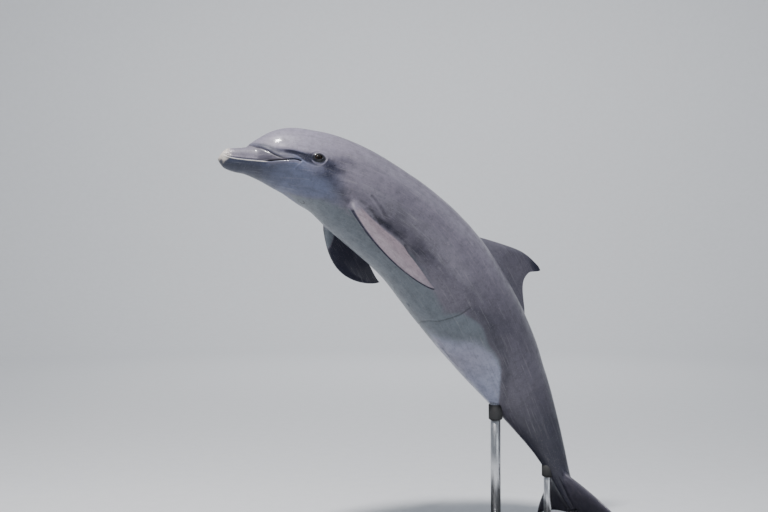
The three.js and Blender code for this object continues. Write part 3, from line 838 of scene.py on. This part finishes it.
def trunk_marks(marks, x, angle, left, up, wave):
    """The trunk's markings: the belly and its edge, and painted shade in the creases and slits."""
    edge = (through(BELLY_EDGE, 1, x) - angle) * 170
    edge += 14 * wave * (1 - 0.75 * smooth((x - 1180) / 60))
    marks["belly"] = smooth(edge / 90 + 0.5) * smooth((x - 230) / 110)
    marks["cheek_and_reflection"] *= 1 - marks["belly"]
    sharp = smooth((x - 1190) / 60)
    marks["belly"] = marks["belly"] * (1 - sharp) + smooth(edge / 48 + 0.5) * sharp
    marks["rear"] = marks["belly"] * smooth((x - 1190 - 260 * (angle + 1.2) + 50 * wave) / 260)
    beside = bell((edge + 34) / 30, 1) * smooth((x - 1150) / 100) * (1 - smooth((x - 1600) / 120))
    marks["dark"] = np.maximum(marks["dark"], 0.45 * beside)
    # painted shade in the trunk's creases, the deeper ones darker, and in the long slit
    creases = 0.5 * bell(off_fold(BELLY_CREASE, x, angle), 4.5)
    for line, depth, width in TRUNK_FOLDS:
        creases = np.maximum(creases, 0.14 * depth * bell(off_fold(line, x, angle), width * 0.9))
    start, end = LONG_SLIT
    slit = bell(left, 2.4) * (up < 0) * between(x, start + 2, end - 2, 10)
    marks["crease_shade"] = np.maximum.reduce([marks["crease_shade"], creases, 0.7 * slit])
    beside_slit = bell(np.abs(left) - 12, 9) * (up < 0) * between(x, start - 14, end + 9, 14)
    marks["pink"] = np.maximum(0.5 * beside_slit, 0.35 * marks["rear"] * bell((x - 1400) / 110, 1))


def fin_marks(marks, points, normals, x, angle, up, to_fins, off_body):
    """The fins' markings: dark edges and tips, and the flippers' paler outer faces, with painted shade on
    their inner faces and a painted shadow behind their trailing edges.
    """
    out = smooth((off_body - 3) / 14)
    knob = smooth((off_body - 3) / 8)
    back, *rest = [blend * (to_fin < 4) for blend, to_fin in zip((out, out, out, knob, knob), to_fins)]
    flukes, flippers = np.maximum(*rest[:2]), rest[2:]
    rise = up - through(BODY, 1, x)
    marks["tone"] = blend_in(marks["tone"], back, 0.34 - 0.10 * smooth((rise - 90) / 100))
    fin_top = back * smooth((rise - 150) / 45) * (0.5 + 0.5 * smooth((x - 1240) / 60))
    marks["dark"] = np.maximum(marks["dark"], fin_top)
    marks["tone"] = blend_in(marks["tone"], flukes, 0.22)
    marks["belly"] *= 1 - flukes
    for kind, blade in zip(FLIPPERS, flippers):
        root, span, chord, face, _ = flipper_frame(kind)
        rel = points - root
        t = (rel @ span) / FLIPPER["length"]
        within = np.clip(t, FLIPPER_SUNK, 1)
        lead = np.array([flipper_lead(v) for v in within])
        trail = np.array([flipper_trail(v) for v in within])
        c = rel @ chord - flipper_bend(t, kind["curve"])
        outer = smooth(((normals @ face) + 0.25) / 0.3)
        rim = 1 - smooth((c - lead - 2.0) / 3.5)
        tip = smooth((t - 0.72) / 0.35)
        root_end = 0.17 * (1 - smooth((c - lead) / 80))
        slate = blade * np.maximum(outer, smooth((t - root_end) / 0.07))
        rosy = smooth((t - 0.02) / 0.07) * (1 - rim) * (1 - 0.65 * tip)
        marks["pink"] = np.maximum(marks["pink"] * (1 - blade), blade * outer * rosy)
        # painted shade on the inner faces, and the dark rim and tip
        inner_shade_rim_tip = np.maximum.reduce([1 - outer, 0.9 * rim, 0.35 * tip])
        marks["dark"] = marks["dark"] * (1 - blade) + slate * inner_shade_rim_tip
        # the blade's inner root takes the belly's grey with its painted green reflection
        marks["belly"] = np.maximum(marks["belly"] * (1 - blade), 0.8 * (blade - slate))
        marks["cheek_and_reflection"] *= 1 - blade
        marks["crease_shade"] *= 1 - blade
        # painted shadow on the body behind each flipper's trailing edge
        near = (np.abs(rel @ face) < 60) * (1 - blade) * (angle > -1.2)
        shadow = bell(c - trail - 4, 9) * between(t, 0.16, 0.6, 0.1) * near
        marks["dark"] = np.maximum(marks["dark"], 0.45 * shadow)
    marks["fin"] = np.maximum.reduce([back, flukes, *flippers]) * smooth((off_body - 30) / 30)


def add_markings(skin, to_fins, off_body):
    """Stores where each colour of the animal lies, and where shade and reflections are painted, for the
    skin's material.
    """
    points = mesh_points(skin)
    normals = mesh_normals(skin)
    x, left, up = body_places(points)
    angle = np.arctan2(up, np.abs(left))
    wave = ripple(points, 150, 3) + 0.6 * ripple(points, 55, 4) + 0.3 * ripple(points, 20, 5)
    upper = smooth((angle + 0.5) / 1.3)
    # painted shade on the lower flank behind the flipper
    shaded_lower_flank = (1 - upper) * between(x, 760, 1350, 160)
    marks = {"tone": through(BACK_TONE, 1, x) - 0.16 * shaded_lower_flank}
    face_marks(marks, x, angle, up, wave)
    trunk_marks(marks, x, angle, left, up, wave)
    fin_marks(marks, points, normals, x, angle, up, to_fins, off_body)
    # painted shade in the blowhole's slit
    hole = bell(blowhole_relief(points)[1], 2.6)
    marks["crease_shade"] = np.maximum(marks["crease_shade"], hole)
    marks["head"] = 1 - smooth((x - 470) / 60)
    for name, values in marks.items():
        add_value(skin, name, values)
    lie = skin.data.attributes.new("lie", "FLOAT_VECTOR", "POINT")
    flow = np.stack([x, np.clip(np.hypot(up, left), 30, 400) * angle, np.zeros_like(x)], -1) * MM
    lie.data.foreach_set("vector", flow.astype(np.float32).ravel())


# ------------------------------------------------------------------ materials


class Tree:
    """A node tree, filled a node at a time."""

    def __init__(self, tree):
        self.tree = tree

    def add(self, kind, links=(), **settings):
        node = self.tree.nodes.new(kind)
        for key, value in settings.items():
            setattr(node, key, value)
        self.wire(node, links)
        return node

    def wire(self, node, links):
        for socket, source in dict(links).items():
            if isinstance(source, bpy.types.NodeSocket):
                self.tree.links.new(source, node.inputs[socket])
            else:
                node.inputs[socket].default_value = source


class Finish(Tree):
    """A material's node tree, with the patterns that its shader is fed from."""

    def __init__(self, name):
        self.material = bpy.data.materials.new(name)
        self.material.use_nodes = True
        super().__init__(self.material.node_tree)
        self.shader = self.tree.nodes["Principled BSDF"]

    def place(self):
        return self.add("ShaderNodeTexCoord").outputs["Object"]

    def stored(self, name, vector=False):
        node = self.add("ShaderNodeAttribute", attribute_name=name)
        return node.outputs["Vector" if vector else "Fac"]

    def noise(self, vector, scale, detail=4.0, roughness=0.55, stretch=None, turn=0.0):
        if stretch:
            vector = self.add("ShaderNodeMapping", {"Vector": vector, "Scale": stretch,
                                                    "Rotation": (0, 0, turn)}).outputs["Vector"]
        node = self.add("ShaderNodeTexNoise", {"Vector": vector, "Scale": scale, "Detail": detail,
                                               "Roughness": roughness})
        return node.outputs["Fac"]

    def ramp(self, value, low, high, to_low=0.0, to_high=1.0, easing="SMOOTHSTEP"):
        node = self.add("ShaderNodeMapRange", {"Value": value, "From Min": low, "From Max": high,
                                               "To Min": to_low, "To Max": to_high},
                        interpolation_type=easing)
        return node.outputs["Result"]

    def maths(self, kind, a, b=0.0):
        return self.add("ShaderNodeMath", {0: a, 1: b}, operation=kind).outputs[0]

    def plus(self, a, b):
        return self.maths("ADD", a, b)

    def times(self, a, b):
        return self.maths("MULTIPLY", a, b)

    def mix(self, amount, a, b, blend="MIX"):
        node = self.add("ShaderNodeMix", data_type="RGBA", blend_type=blend)
        self.wire(node, {0: amount, 6: a, 7: b})
        return node.outputs[2]

    def bump(self, height, distance, strength=1.0, normal=None):
        links = {"Height": height, "Distance": distance, "Strength": strength}
        if normal is not None:
            links["Normal"] = normal
        return self.add("ShaderNodeBump", links).outputs["Normal"]

    def finish(self, **links):
        self.wire(self.shader, {key.replace("_", " "): value for key, value in links.items()})
        return self.material


def rgba(color):
    return (*color[:3], 1.0)


GREY_BLACK = (0.02, 0.021, 0.028, 1.0)
PALE_FLECK = (0.62, 0.60, 0.60, 1.0)
PALE_SCRATCH = (0.55, 0.53, 0.54, 1.0)
# Near black for the eye's dark inner lids and the painted shade round the opening
LIDS_AND_SHADE_BLACK = (0.009, 0.010, 0.015, 1.0)
# Near black for the painted shade in creases, slits and holes
CREASE_SHADE_BLACK = (0.008, 0.008, 0.011, 1.0)

SKIN_MARKS = ("tone", "cheek_and_reflection", "dark", "socket", "belly", "rear", "pink", "cream", "crease_shade", "head", "fin")


def skin_material(colours):
    """Wet grey skin: mottled, finely scratched, with the animal's markings, painted shade in its creases,
    slits and round its flippers, and painted blue and green reflections on the cheeks and belly.
    """
    n = Finish("wet skin")
    place, lie = n.place(), n.stored("lie", vector=True)
    clouds = n.noise(place, 9.0, 5.0, 0.6)
    mottle = n.noise(place, 38.0, 5.0, 0.62)
    grain = n.noise(place, 120.0, 3.0, 0.6)
    flecks = n.noise(place, 260.0, 3.0, 0.6)
    scuffs = n.noise(lie, 26.0, 4.0, 0.65, stretch=(0.22, 3.2, 1.0), turn=0.25)
    rakes = n.noise(lie, 60.0, 2.0, 0.5, stretch=(0.16, 5.0, 1.0), turn=-0.55)
    marks = {name: n.stored(name) for name in SKIN_MARKS}

    ragged = n.times(n.maths("SUBTRACT", mottle, 0.5), 0.5)
    drift = n.times(n.maths("SUBTRACT", clouds, 0.5), 0.26)
    shade = n.plus(marks["tone"], drift)
    tone = n.mix(n.ramp(shade, 0.0, 0.34, easing="LINEAR"), rgba(colours.dark), rgba(colours.flank))
    tone = n.mix(n.ramp(shade, 0.34, 0.64, easing="LINEAR"), tone, rgba(colours.back))
    tone = n.mix(n.ramp(shade, 0.64, 0.95, easing="LINEAR"), tone, rgba(colours.melon))
    # the cheeks' grey with its painted blue reflection, following the tone
    deep, pale = (rgba([share * c for c in colours.throat]) for share in (0.4, 1.7))
    cheek_and_reflection_tone = n.mix(n.ramp(shade, 0.1, 0.8), deep, pale)
    tone = n.mix(n.times(marks["cheek_and_reflection"], 0.85), tone, cheek_and_reflection_tone)
    # the belly's pale grey with its painted green reflection
    belly = n.ramp(n.plus(marks["belly"], ragged), 0.2, 0.8)
    tone = n.mix(belly, tone, rgba(colours.belly))
    rear = n.ramp(n.plus(marks["rear"], ragged), 0.2, 0.8)
    tone = n.mix(rear, tone, rgba(colours.rear))
    dark = n.ramp(n.plus(marks["dark"], n.times(ragged, marks["dark"])), 0.0, 1.0)
    tone = n.mix(n.times(dark, 0.97), tone, rgba(colours.dark))
    tone = n.mix(n.times(marks["pink"], 0.9), tone, rgba(colours.flipper))
    pitted = n.plus(ragged, n.times(n.maths("SUBTRACT", grain, 0.5), 1.2))
    worn = n.ramp(n.plus(marks["cream"], n.times(pitted, marks["cream"])), 0.22, 0.95)
    tone = n.mix(n.times(worn, 0.9), tone, rgba(colours.worn))
    for pattern, low, high, most in ((mottle, 0.40, 0.66, 0.22), (grain, 0.50, 0.72, 0.24),
                                     (scuffs, 0.46, 0.32, 0.16)):
        tone = n.mix(n.ramp(pattern, low, high, 0.0, most), tone, GREY_BLACK)
    tone = n.mix(n.ramp(flecks, 0.56, 0.78, 0.0, 0.14), tone, PALE_FLECK)
    scratch = n.maths("MAXIMUM", n.ramp(scuffs, 0.56, 0.70, 0.0, 0.09),
                      n.ramp(rakes, 0.63, 0.72, 0.0, 0.11))
    tone = n.mix(scratch, tone, PALE_SCRATCH)
    # the eye's dark inner lids and the painted shade round the opening
    tone = n.mix(n.times(marks["socket"], 0.96), tone, LIDS_AND_SHADE_BLACK)
    # painted shade in the creases, slits and holes
    tone = n.mix(n.ramp(marks["crease_shade"], 0.12, 0.85, 0.0, 0.95), tone, CREASE_SHADE_BLACK)

    height = n.plus(n.times(mottle, 0.55), n.times(flecks, 0.2))
    height = n.plus(height, n.times(n.plus(scuffs, rakes), 0.28))
    rough = n.plus(n.ramp(mottle, 0.3, 0.7, 0.42, 0.56), n.times(worn, 0.12))
    return n.finish(Base_Color=tone, Roughness=rough, Normal=n.bump(height, 0.0020, 0.5),
                    Specular_IOR_Level=n.ramp(dark, 0.2, 1.0, 0.32, 0.10),
                    Coat_Weight=0.5, Coat_Roughness=0.1, Coat_IOR=1.36)


def eye_material(colours):
    """A dark brown eye: black pupil, brown iris and a wet clear surface."""
    n = Finish("eyeball")
    gaze = n.stored("gaze")
    streaks = n.noise(n.place(), 900.0, 3.0)
    iris = n.mix(n.ramp(streaks, 0.3, 0.7), rgba(colours.iris), (0.012, 0.008, 0.006, 1.0))
    tone = n.mix(n.ramp(gaze, 0.10, 0.17), (0.002, 0.002, 0.003, 1.0), iris)
    tone = n.mix(n.ramp(gaze, 0.30, 0.40), tone, (0.016, 0.014, 0.016, 1.0))
    return n.finish(Base_Color=tone, Roughness=0.5, Specular_IOR_Level=0.1,
                    Coat_Weight=0.12, Coat_Roughness=0.05, Coat_IOR=1.36)


def powder_coat(colour):
    n = Finish("powder coat")
    peel = n.noise(n.place(), 420.0, 2.0)
    dust = n.noise(n.place(), 9.0, 5.0)
    tone = n.mix(n.ramp(dust, 0.42, 0.74, 0.0, 0.22), rgba(colour), (0.12, 0.12, 0.125, 1.0))
    return n.finish(Base_Color=tone, Roughness=n.ramp(dust, 0.3, 0.7, 0.38, 0.52),
                    Normal=n.bump(peel, 0.0006, 0.4))


def brushed_steel():
    n = Finish("brushed steel")
    grain = n.noise(n.place(), 60.0, 4.0, stretch=(14.0, 14.0, 0.6))
    wipe = n.noise(n.place(), 6.0, 3.0)
    tone = n.mix(n.ramp(wipe, 0.35, 0.7), (0.60, 0.61, 0.63, 1.0), (0.48, 0.49, 0.51, 1.0))
    return n.finish(Base_Color=tone, Metallic=1.0, Roughness=n.ramp(grain, 0.3, 0.7, 0.22, 0.42),
                    Normal=n.bump(grain, 0.0003, 0.35))


def black_rubber():
    n = Finish("black rubber")
    grit = n.noise(n.place(), 700.0, 2.0)
    tone = n.mix(n.ramp(grit, 0.3, 0.75), (0.016, 0.016, 0.017, 1.0), (0.035, 0.035, 0.037, 1.0))
    return n.finish(Base_Color=tone, Roughness=n.ramp(grit, 0.3, 0.7, 0.58, 0.75),
                    Normal=n.bump(grit, 0.0004, 0.5))


def studio_paint(name, colour):
    n = Finish(name)
    speckle = n.noise(n.place(), 14.0, 4.0)
    tone = n.mix(n.ramp(speckle, 0.3, 0.7), rgba(colour), rgba([c * 0.975 for c in colour]))
    return n.finish(Base_Color=tone, Roughness=0.75)


# ------------------------------------------------------------------ settings


def length_property(name, description, default):
    return FloatProperty(name=name, description=description, default=default, unit="LENGTH", min=0.0)


def colour_property(name, description, default):
    return FloatVectorProperty(name=name, description=description, default=default, subtype="COLOR",
                               size=3, min=0.0, max=1.0)


class DolphinSkinSettings(bpy.types.PropertyGroup):
    """Colours of the skin and the size of the eyes' openings"""

    melon: colour_property("Melon", "Light grey of the forehead and nape", (0.226, 0.210, 0.275))
    back: colour_property("Back", "Grey of the back behind the head", (0.164, 0.149, 0.192))
    flank: colour_property("Flank", "Darker grey of the flanks and the tail stock", (0.076, 0.070, 0.095))
    # also used for the painted shade on the flippers' inner faces, behind them and round them
    dark: colour_property("Dark marks", "Slate grey of the eye patch, fins and smudges",
                          (0.014, 0.015, 0.030))
    # grey of the cheeks and throat, with a painted blue reflection of water and sky
    throat: colour_property("Throat", "Bluish grey of the cheeks and throat", (0.076, 0.095, 0.165))
    # pale grey of the chest and belly, with a painted green reflection of the sea
    belly: colour_property("Belly", "Greenish grey of the chest and belly", (0.116, 0.138, 0.164))
    rear: colour_property("Rear belly", "Pale lilac grey of the rear of the belly", (0.300, 0.320, 0.430))
    flipper: colour_property("Flippers", "Brownish pink of the flippers' outer side", (0.225, 0.180, 0.205))
    worn: colour_property("Worn tips", "Cream of the worn beak tips and lips", (0.620, 0.570, 0.510))
    opening_long: length_property("Eye length", "Length of the opening between the lids", 0.031)
    opening_high: length_property("Eye height", "Height of the opening between the lids", 0.022)


class DolphinEyeSettings(bpy.types.PropertyGroup):
    """Look of the eyes"""

    iris: colour_property("Iris", "Brown of the iris", (0.030, 0.017, 0.010))


class DolphinStandSettings(bpy.types.PropertyGroup):
    """Sizes and colour of the display stand"""

    paint: colour_property("Paint", "Colour of the powder coat", (0.030, 0.032, 0.036))
    edge: length_property("Edge rounding", "Radius of the rounded edges of the base", 0.004)
    bolt: length_property("Bolt size", "Width of a collar bolt's head", 0.015)
    bolts: IntProperty(name="Bolts", description="Bolts round each collar", default=6, min=3, max=12)


class DolphinStageSettings(bpy.types.PropertyGroup):
    """Camera and floor"""

    lens: FloatProperty(name="Lens", description="Focal length of the camera in millimetres", default=39.84)
    pitch: FloatProperty(name="Camera pitch", description="How far the camera looks up, in degrees",
                         default=1.28)
    floor: colour_property("Floor", "Colour of the floor and the wall behind", (0.76, 0.77, 0.79))


# ------------------------------------------------------------------ operators


def collar_bolts(name, middle, ring, width, count):
    """Hexagonal bolts round a collar, made with geometry nodes."""
    group = bpy.data.node_groups.new(name, "GeometryNodeTree")
    group.interface.new_socket("Geometry", in_out="OUTPUT", socket_type="NodeSocketGeometry")
    inputs = (("Count", "NodeSocketInt", count), ("Ring radius", "NodeSocketFloat", ring),
              ("Head width", "NodeSocketFloat", width), ("Material", "NodeSocketMaterial", steel_finish()))
    sockets = {}
    for label, kind, value in inputs:
        socket = group.interface.new_socket(label, in_out="INPUT", socket_type=kind)
        socket.default_value = value
        sockets[label] = socket.identifier
    tree = Tree(group)
    given, result = tree.add("NodeGroupInput").outputs, tree.add("NodeGroupOutput")

    def share_of_width(share):
        return tree.add("ShaderNodeMath", {0: given["Head width"], 1: share}, operation="MULTIPLY").outputs[0]

    circle = tree.add("GeometryNodeMeshCircle", {"Vertices": given["Count"], "Radius": given["Ring radius"]})
    head = tree.add("GeometryNodeMeshCylinder", {
        "Vertices": 6, "Radius": share_of_width(BOLT_RADIUS), "Depth": share_of_width(BOLT_HEIGHT)})
    washer = tree.add("GeometryNodeMeshCylinder", {
        "Vertices": 24, "Radius": share_of_width(WASHER_RADIUS), "Depth": WASHER_THICKNESS})
    lifted = tree.add("GeometryNodeTransform", {
        "Geometry": head.outputs["Mesh"], "Translation": (0, 0, BOLT_LIFT)})
    both = tree.add("GeometryNodeJoinGeometry", {"Geometry": lifted.outputs["Geometry"]})
    tree.wire(both, {"Geometry": washer.outputs["Mesh"]})
    spread = tree.add("GeometryNodeInstanceOnPoints", {
        "Points": circle.outputs["Mesh"], "Instance": both.outputs["Geometry"]})
    moved = tree.add("GeometryNodeTransform", {
        "Geometry": spread.outputs["Instances"], "Translation": middle})
    real = tree.add("GeometryNodeRealizeInstances", {"Geometry": moved.outputs["Geometry"]})
    coated = tree.add("GeometryNodeSetMaterial", {
        "Geometry": real.outputs["Geometry"], "Material": given["Material"]})
    tree.wire(result, {"Geometry": coated.outputs["Geometry"]})

    obj = bpy.data.objects.new(name, bpy.data.meshes.new(name))
    bpy.context.scene.collection.objects.link(obj)
    modifier = obj.modifiers.new("bolts", "NODES")
    modifier.node_group = group
    for label, _, value in inputs:
        modifier[sockets[label]] = value
    applied(obj)
    return obj


FINISHES = {}


def steel_finish():
    if "steel" not in FINISHES:
        FINISHES["steel"] = brushed_steel()
    return FINISHES["steel"]


def turned(name, profile, x, y, sides=96):
    """A turned piece round an upright axis, from (radius, height) points in metres."""
    rings = circle_rings(profile, sides, x, y)
    obj = mesh_object(name, np.concatenate(rings), band_faces(len(rings), sides, closed=True))
    face_outwards(obj)
    return obj


def soften(obj, width, segments=3, angle=35):
    bevel = obj.modifiers.new("edges", "BEVEL")
    bevel.width = width
    bevel.segments = segments
    bevel.limit_method = "ANGLE"
    bevel.angle_limit = math.radians(angle)
    bevel.harden_normals = True
    applied(obj)


def finish_piece(obj, material, slot, *nodes):
    obj.data.materials.clear()
    obj.data.materials.append(material)
    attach(obj, "root")
    if nodes:
        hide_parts(*nodes)


def middle_of(node):
    low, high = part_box(node)
    return [(a + b) / 2 for a, b in zip(low, high)]


class DOLPHIN_OT_skin(bpy.types.Operator):
    """Makes the animal's whole skin as one piece, with its face, folds and markings"""

    bl_idname = "dolphin.skin"
    bl_label = "Skin"

    def execute(self, context):
        settings = context.scene.dolphin_skin
        skin, to_fins, off_body = merged_skin(settings)
        add_markings(skin, to_fins, off_body)
        shade_smooth(skin)
        finish_piece(skin, skin_material(settings), "skin", *FLESH)
        return {"FINISHED"}


class DOLPHIN_OT_eyes(bpy.types.Operator):
    """Makes the two eyeballs with their raised clear fronts"""

    bl_idname = "dolphin.eyes"
    bl_label = "Eyes"

    def execute(self, context):
        material = eye_material(context.scene.dolphin_eyes)
        for side, node in ((1, "eye_left"), (-1, "eye_right")):
            middle = np.array(middle_of(node)) / MM
            _, ahead, over, out = eye_frame(side)
            turns = np.linspace(0, 2 * math.pi, 48, endpoint=False)
            rings = []
            for tilt in np.linspace(0.04, math.pi - 0.04, 34):
                r = EYE_RADIUS - 0.4 + 0.9 * math.exp(-((tilt / 0.42) ** 2))
                rings.append(middle + out * r * math.cos(tilt)
                             + np.outer(np.cos(turns), ahead) * r * math.sin(tilt)
                             + np.outer(np.sin(turns), over) * r * math.sin(tilt))
            ball = closed_rings(f"{node}_ball", rings, rings[0].mean(0), rings[-1].mean(0))
            points = mesh_points(ball) - middle
            tilt = np.arccos(np.clip(unit(points) @ out, -1, 1))
            add_value(ball, "gaze", tilt / math.pi)
            finish_piece(ball, material, "eye", node)
        return {"FINISHED"}


class DOLPHIN_OT_base(bpy.types.Operator):
    """Makes the stand's flat base with rounded corners and edges"""

    bl_idname = "dolphin.base"
    bl_label = "Stand base"

    def execute(self, context):
        settings = context.scene.dolphin_stand
        low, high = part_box("stand_base")
        outline = []
        for cx, cy, start in ((1, 1, 0), (-1, 1, 90), (-1, -1, 180), (1, -1, 270)):
            for step in range(CORNER_STEPS + 1):
                a = math.radians(start + 90 * step / CORNER_STEPS)
                outline.append((cx * (high[0] - BASE_CORNER) + BASE_CORNER * math.cos(a),
                                cy * (high[1] - BASE_CORNER) + BASE_CORNER * math.sin(a)))
        count = len(outline)
        points = [(x / MM, y / MM, z / MM) for z in (low[2], high[2]) for x, y in outline]
        faces = [tuple(range(count)), tuple(range(count, 2 * count))]
        faces += [(k, (k + 1) % count, count + (k + 1) % count, count + k) for k in range(count)]
        base = mesh_object("stand_plate", points, faces)
        face_outwards(base)
        soften(base, settings.edge, 4)
        finish_piece(base, powder_coat(settings.paint), "stand_paint", "stand_base")
        return {"FINISHED"}


class DOLPHIN_OT_rods(bpy.types.Operator):
    """Makes the stand's rods, each with a rubber sleeve where it enters the body"""

    bl_idname = "dolphin.rods"
    bl_label = "Stand rods"

    def execute(self, context):
        rubber = black_rubber()
        for which, sleeve_at in SLEEVES_AT:
            low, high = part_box(f"stand_rod_{which}")
            x, y, _ = middle_of(f"stand_rod_{which}")
            r = (high[0] - low[0]) / 2
            bar = [(ROD_PINHOLE, low[2]), (r, low[2]), (r, high[2]), (ROD_PINHOLE, high[2])]
            rod = turned(f"rod_{which}", bar, x, y)
            finish_piece(rod, steel_finish(), "stand_steel", f"stand_rod_{which}")
            profile = [(r + away, sleeve_at + above) for away, above in SLEEVE_OUTLINE]
            sleeve = turned(f"sleeve_{which}", profile, x, y)
            finish_piece(sleeve, rubber, "stand_paint")
        return {"FINISHED"}


class DOLPHIN_OT_collars(bpy.types.Operator):
    """Makes the collars that clamp the rods to the base, and their bolts"""

    bl_idname = "dolphin.collars"
    bl_label = "Stand collars"

    def execute(self, context):
        settings = context.scene.dolphin_stand
        paint = powder_coat(settings.paint)
        for which in ("front", "rear"):
            low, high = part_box(f"stand_collar_{which}")
            x, y, _ = middle_of(f"stand_collar_{which}")
            rod_low, rod_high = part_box(f"stand_rod_{which}")
            r, wide = (rod_high[0] - rod_low[0]) / 2, (high[0] - low[0]) / 2
            foot, top, bore, hub = low[2], high[2], r + COLLAR_GAP, r + COLLAR_HUB
            profile = [(bore, foot), (wide, foot), (wide, foot + 0.008), (wide - 0.003, foot + 0.010),
                       (hub, foot + 0.012), (r + 0.012, foot + 0.018), (r + 0.010, top - 0.003),
                       (r + 0.007, top), (bore, top)]
            collar = turned(f"collar_{which}", profile, x, y)
            soften(collar, 0.0012, 2)
            finish_piece(collar, paint, "stand_paint", f"stand_collar_{which}")
            bolts = collar_bolts(f"bolts_{which}", (x, y, foot + BOLT_SEAT), (wide + hub) / 2,
                                 settings.bolt, settings.bolts)
            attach(bolts, "root")
        return {"FINISHED"}


def floor_bowl():
    """A wide round floor that curves up into a low wall, so it has no far edge."""
    profile = [(r, 0.0) for r in (0.8, 2.0, 4.0, 6.5, FLOOR_FLAT)]
    steps, sides = 24, 128
    for step in range(1, steps + 1):
        a = math.radians(90 * step / steps)
        profile.append((FLOOR_FLAT + FLOOR_CURVE * math.sin(a), FLOOR_CURVE * (1 - math.cos(a))))
    profile.append((FLOOR_FLAT + FLOOR_CURVE, WALL_TOP))
    points = np.vstack([*circle_rings(profile, sides), [[0, 0, 0]]])
    faces = [(len(points) - 1, k, (k + 1) % sides) for k in range(sides)]
    faces += [(a, d, c, b) for a, b, c, d in band_faces(len(profile), sides)]
    floor = mesh_object("floor", points, faces)
    shade_smooth(floor)
    return floor


def area_light(name, place, target, size, watts, colour):
    data = bpy.data.lights.new(name, "AREA")
    data.shape = "RECTANGLE"
    data.size, data.size_y = size
    data.energy, data.color = watts, colour
    obj = bpy.data.objects.new(name, data)
    obj.location = place
    aim = Vector(target) - Vector(place)
    obj.rotation_euler = aim.to_track_quat("-Z", "Y").to_euler()
    bpy.context.scene.collection.objects.link(obj)


class DOLPHIN_OT_stage(bpy.types.Operator):
    """Makes the camera, the floor with its curved wall, and the studio lights"""

    bl_idname = "dolphin.stage"
    bl_label = "Stage"

    def execute(self, context):
        settings = context.scene.dolphin_stage
        scene = context.scene
        camera = bpy.data.objects.new("camera", bpy.data.cameras.new("camera"))
        camera.data.sensor_fit = "HORIZONTAL"
        camera.data.sensor_width = 36.0
        camera.data.lens = settings.lens
        camera.data.clip_end = 100.0
        camera.location = CAMERA_AT
        camera.rotation_euler = (math.radians(90 + settings.pitch), 0, 0)
        scene.collection.objects.link(camera)
        scene.camera = camera

        floor = floor_bowl()
        floor.data.materials.append(studio_paint("floor paint", settings.floor))

        for values in LIGHTS:
            area_light(*values)

        world = bpy.data.worlds.new("studio")
        world.use_nodes = True
        background = world.node_tree.nodes["Background"]
        background.inputs["Color"].default_value = SKY_COLOUR
        background.inputs["Strength"].default_value = SKY_STRENGTH
        scene.world = world
        return {"FINISHED"}


class DOLPHIN_PT_panel(bpy.types.Panel):
    """Buttons for each piece of the model, with their settings"""

    bl_label = "Leaping dolphin"
    bl_idname = "DOLPHIN_PT_panel"
    bl_space_type = "VIEW_3D"
    bl_region_type = "UI"
    bl_category = "Dolphin"

    def draw(self, context):
        for kind, group in ((DOLPHIN_OT_skin, "dolphin_skin"), (DOLPHIN_OT_eyes, "dolphin_eyes"),
                            (DOLPHIN_OT_base, "dolphin_stand"), (DOLPHIN_OT_rods, None),
                            (DOLPHIN_OT_collars, None), (DOLPHIN_OT_stage, "dolphin_stage")):
            box = self.layout.box()
            box.operator(kind.bl_idname)
            if group:
                settings = getattr(context.scene, group)
                for name in settings.__annotations__:
                    box.prop(settings, name)


GROUPS = {
    "dolphin_skin": DolphinSkinSettings,
    "dolphin_eyes": DolphinEyeSettings,
    "dolphin_stand": DolphinStandSettings,
    "dolphin_stage": DolphinStageSettings,
}
OPERATORS = (DOLPHIN_OT_stage, DOLPHIN_OT_skin, DOLPHIN_OT_eyes, DOLPHIN_OT_base, DOLPHIN_OT_rods,
             DOLPHIN_OT_collars)


def register():
    for kind in (*GROUPS.values(), *OPERATORS, DOLPHIN_PT_panel):
        bpy.utils.register_class(kind)
    for name, kind in GROUPS.items():
        setattr(bpy.types.Scene, name, PointerProperty(type=kind))


def unregister():
    for name in GROUPS:
        delattr(bpy.types.Scene, name)
    for kind in (DOLPHIN_PT_panel, *reversed(OPERATORS), *reversed(list(GROUPS.values()))):
        bpy.utils.unregister_class(kind)


def main():
    register()
    for kind in OPERATORS:
        group, name = kind.bl_idname.split(".")
        getattr(getattr(bpy.ops, group), name)()


if __name__ == "__main__":
    main()
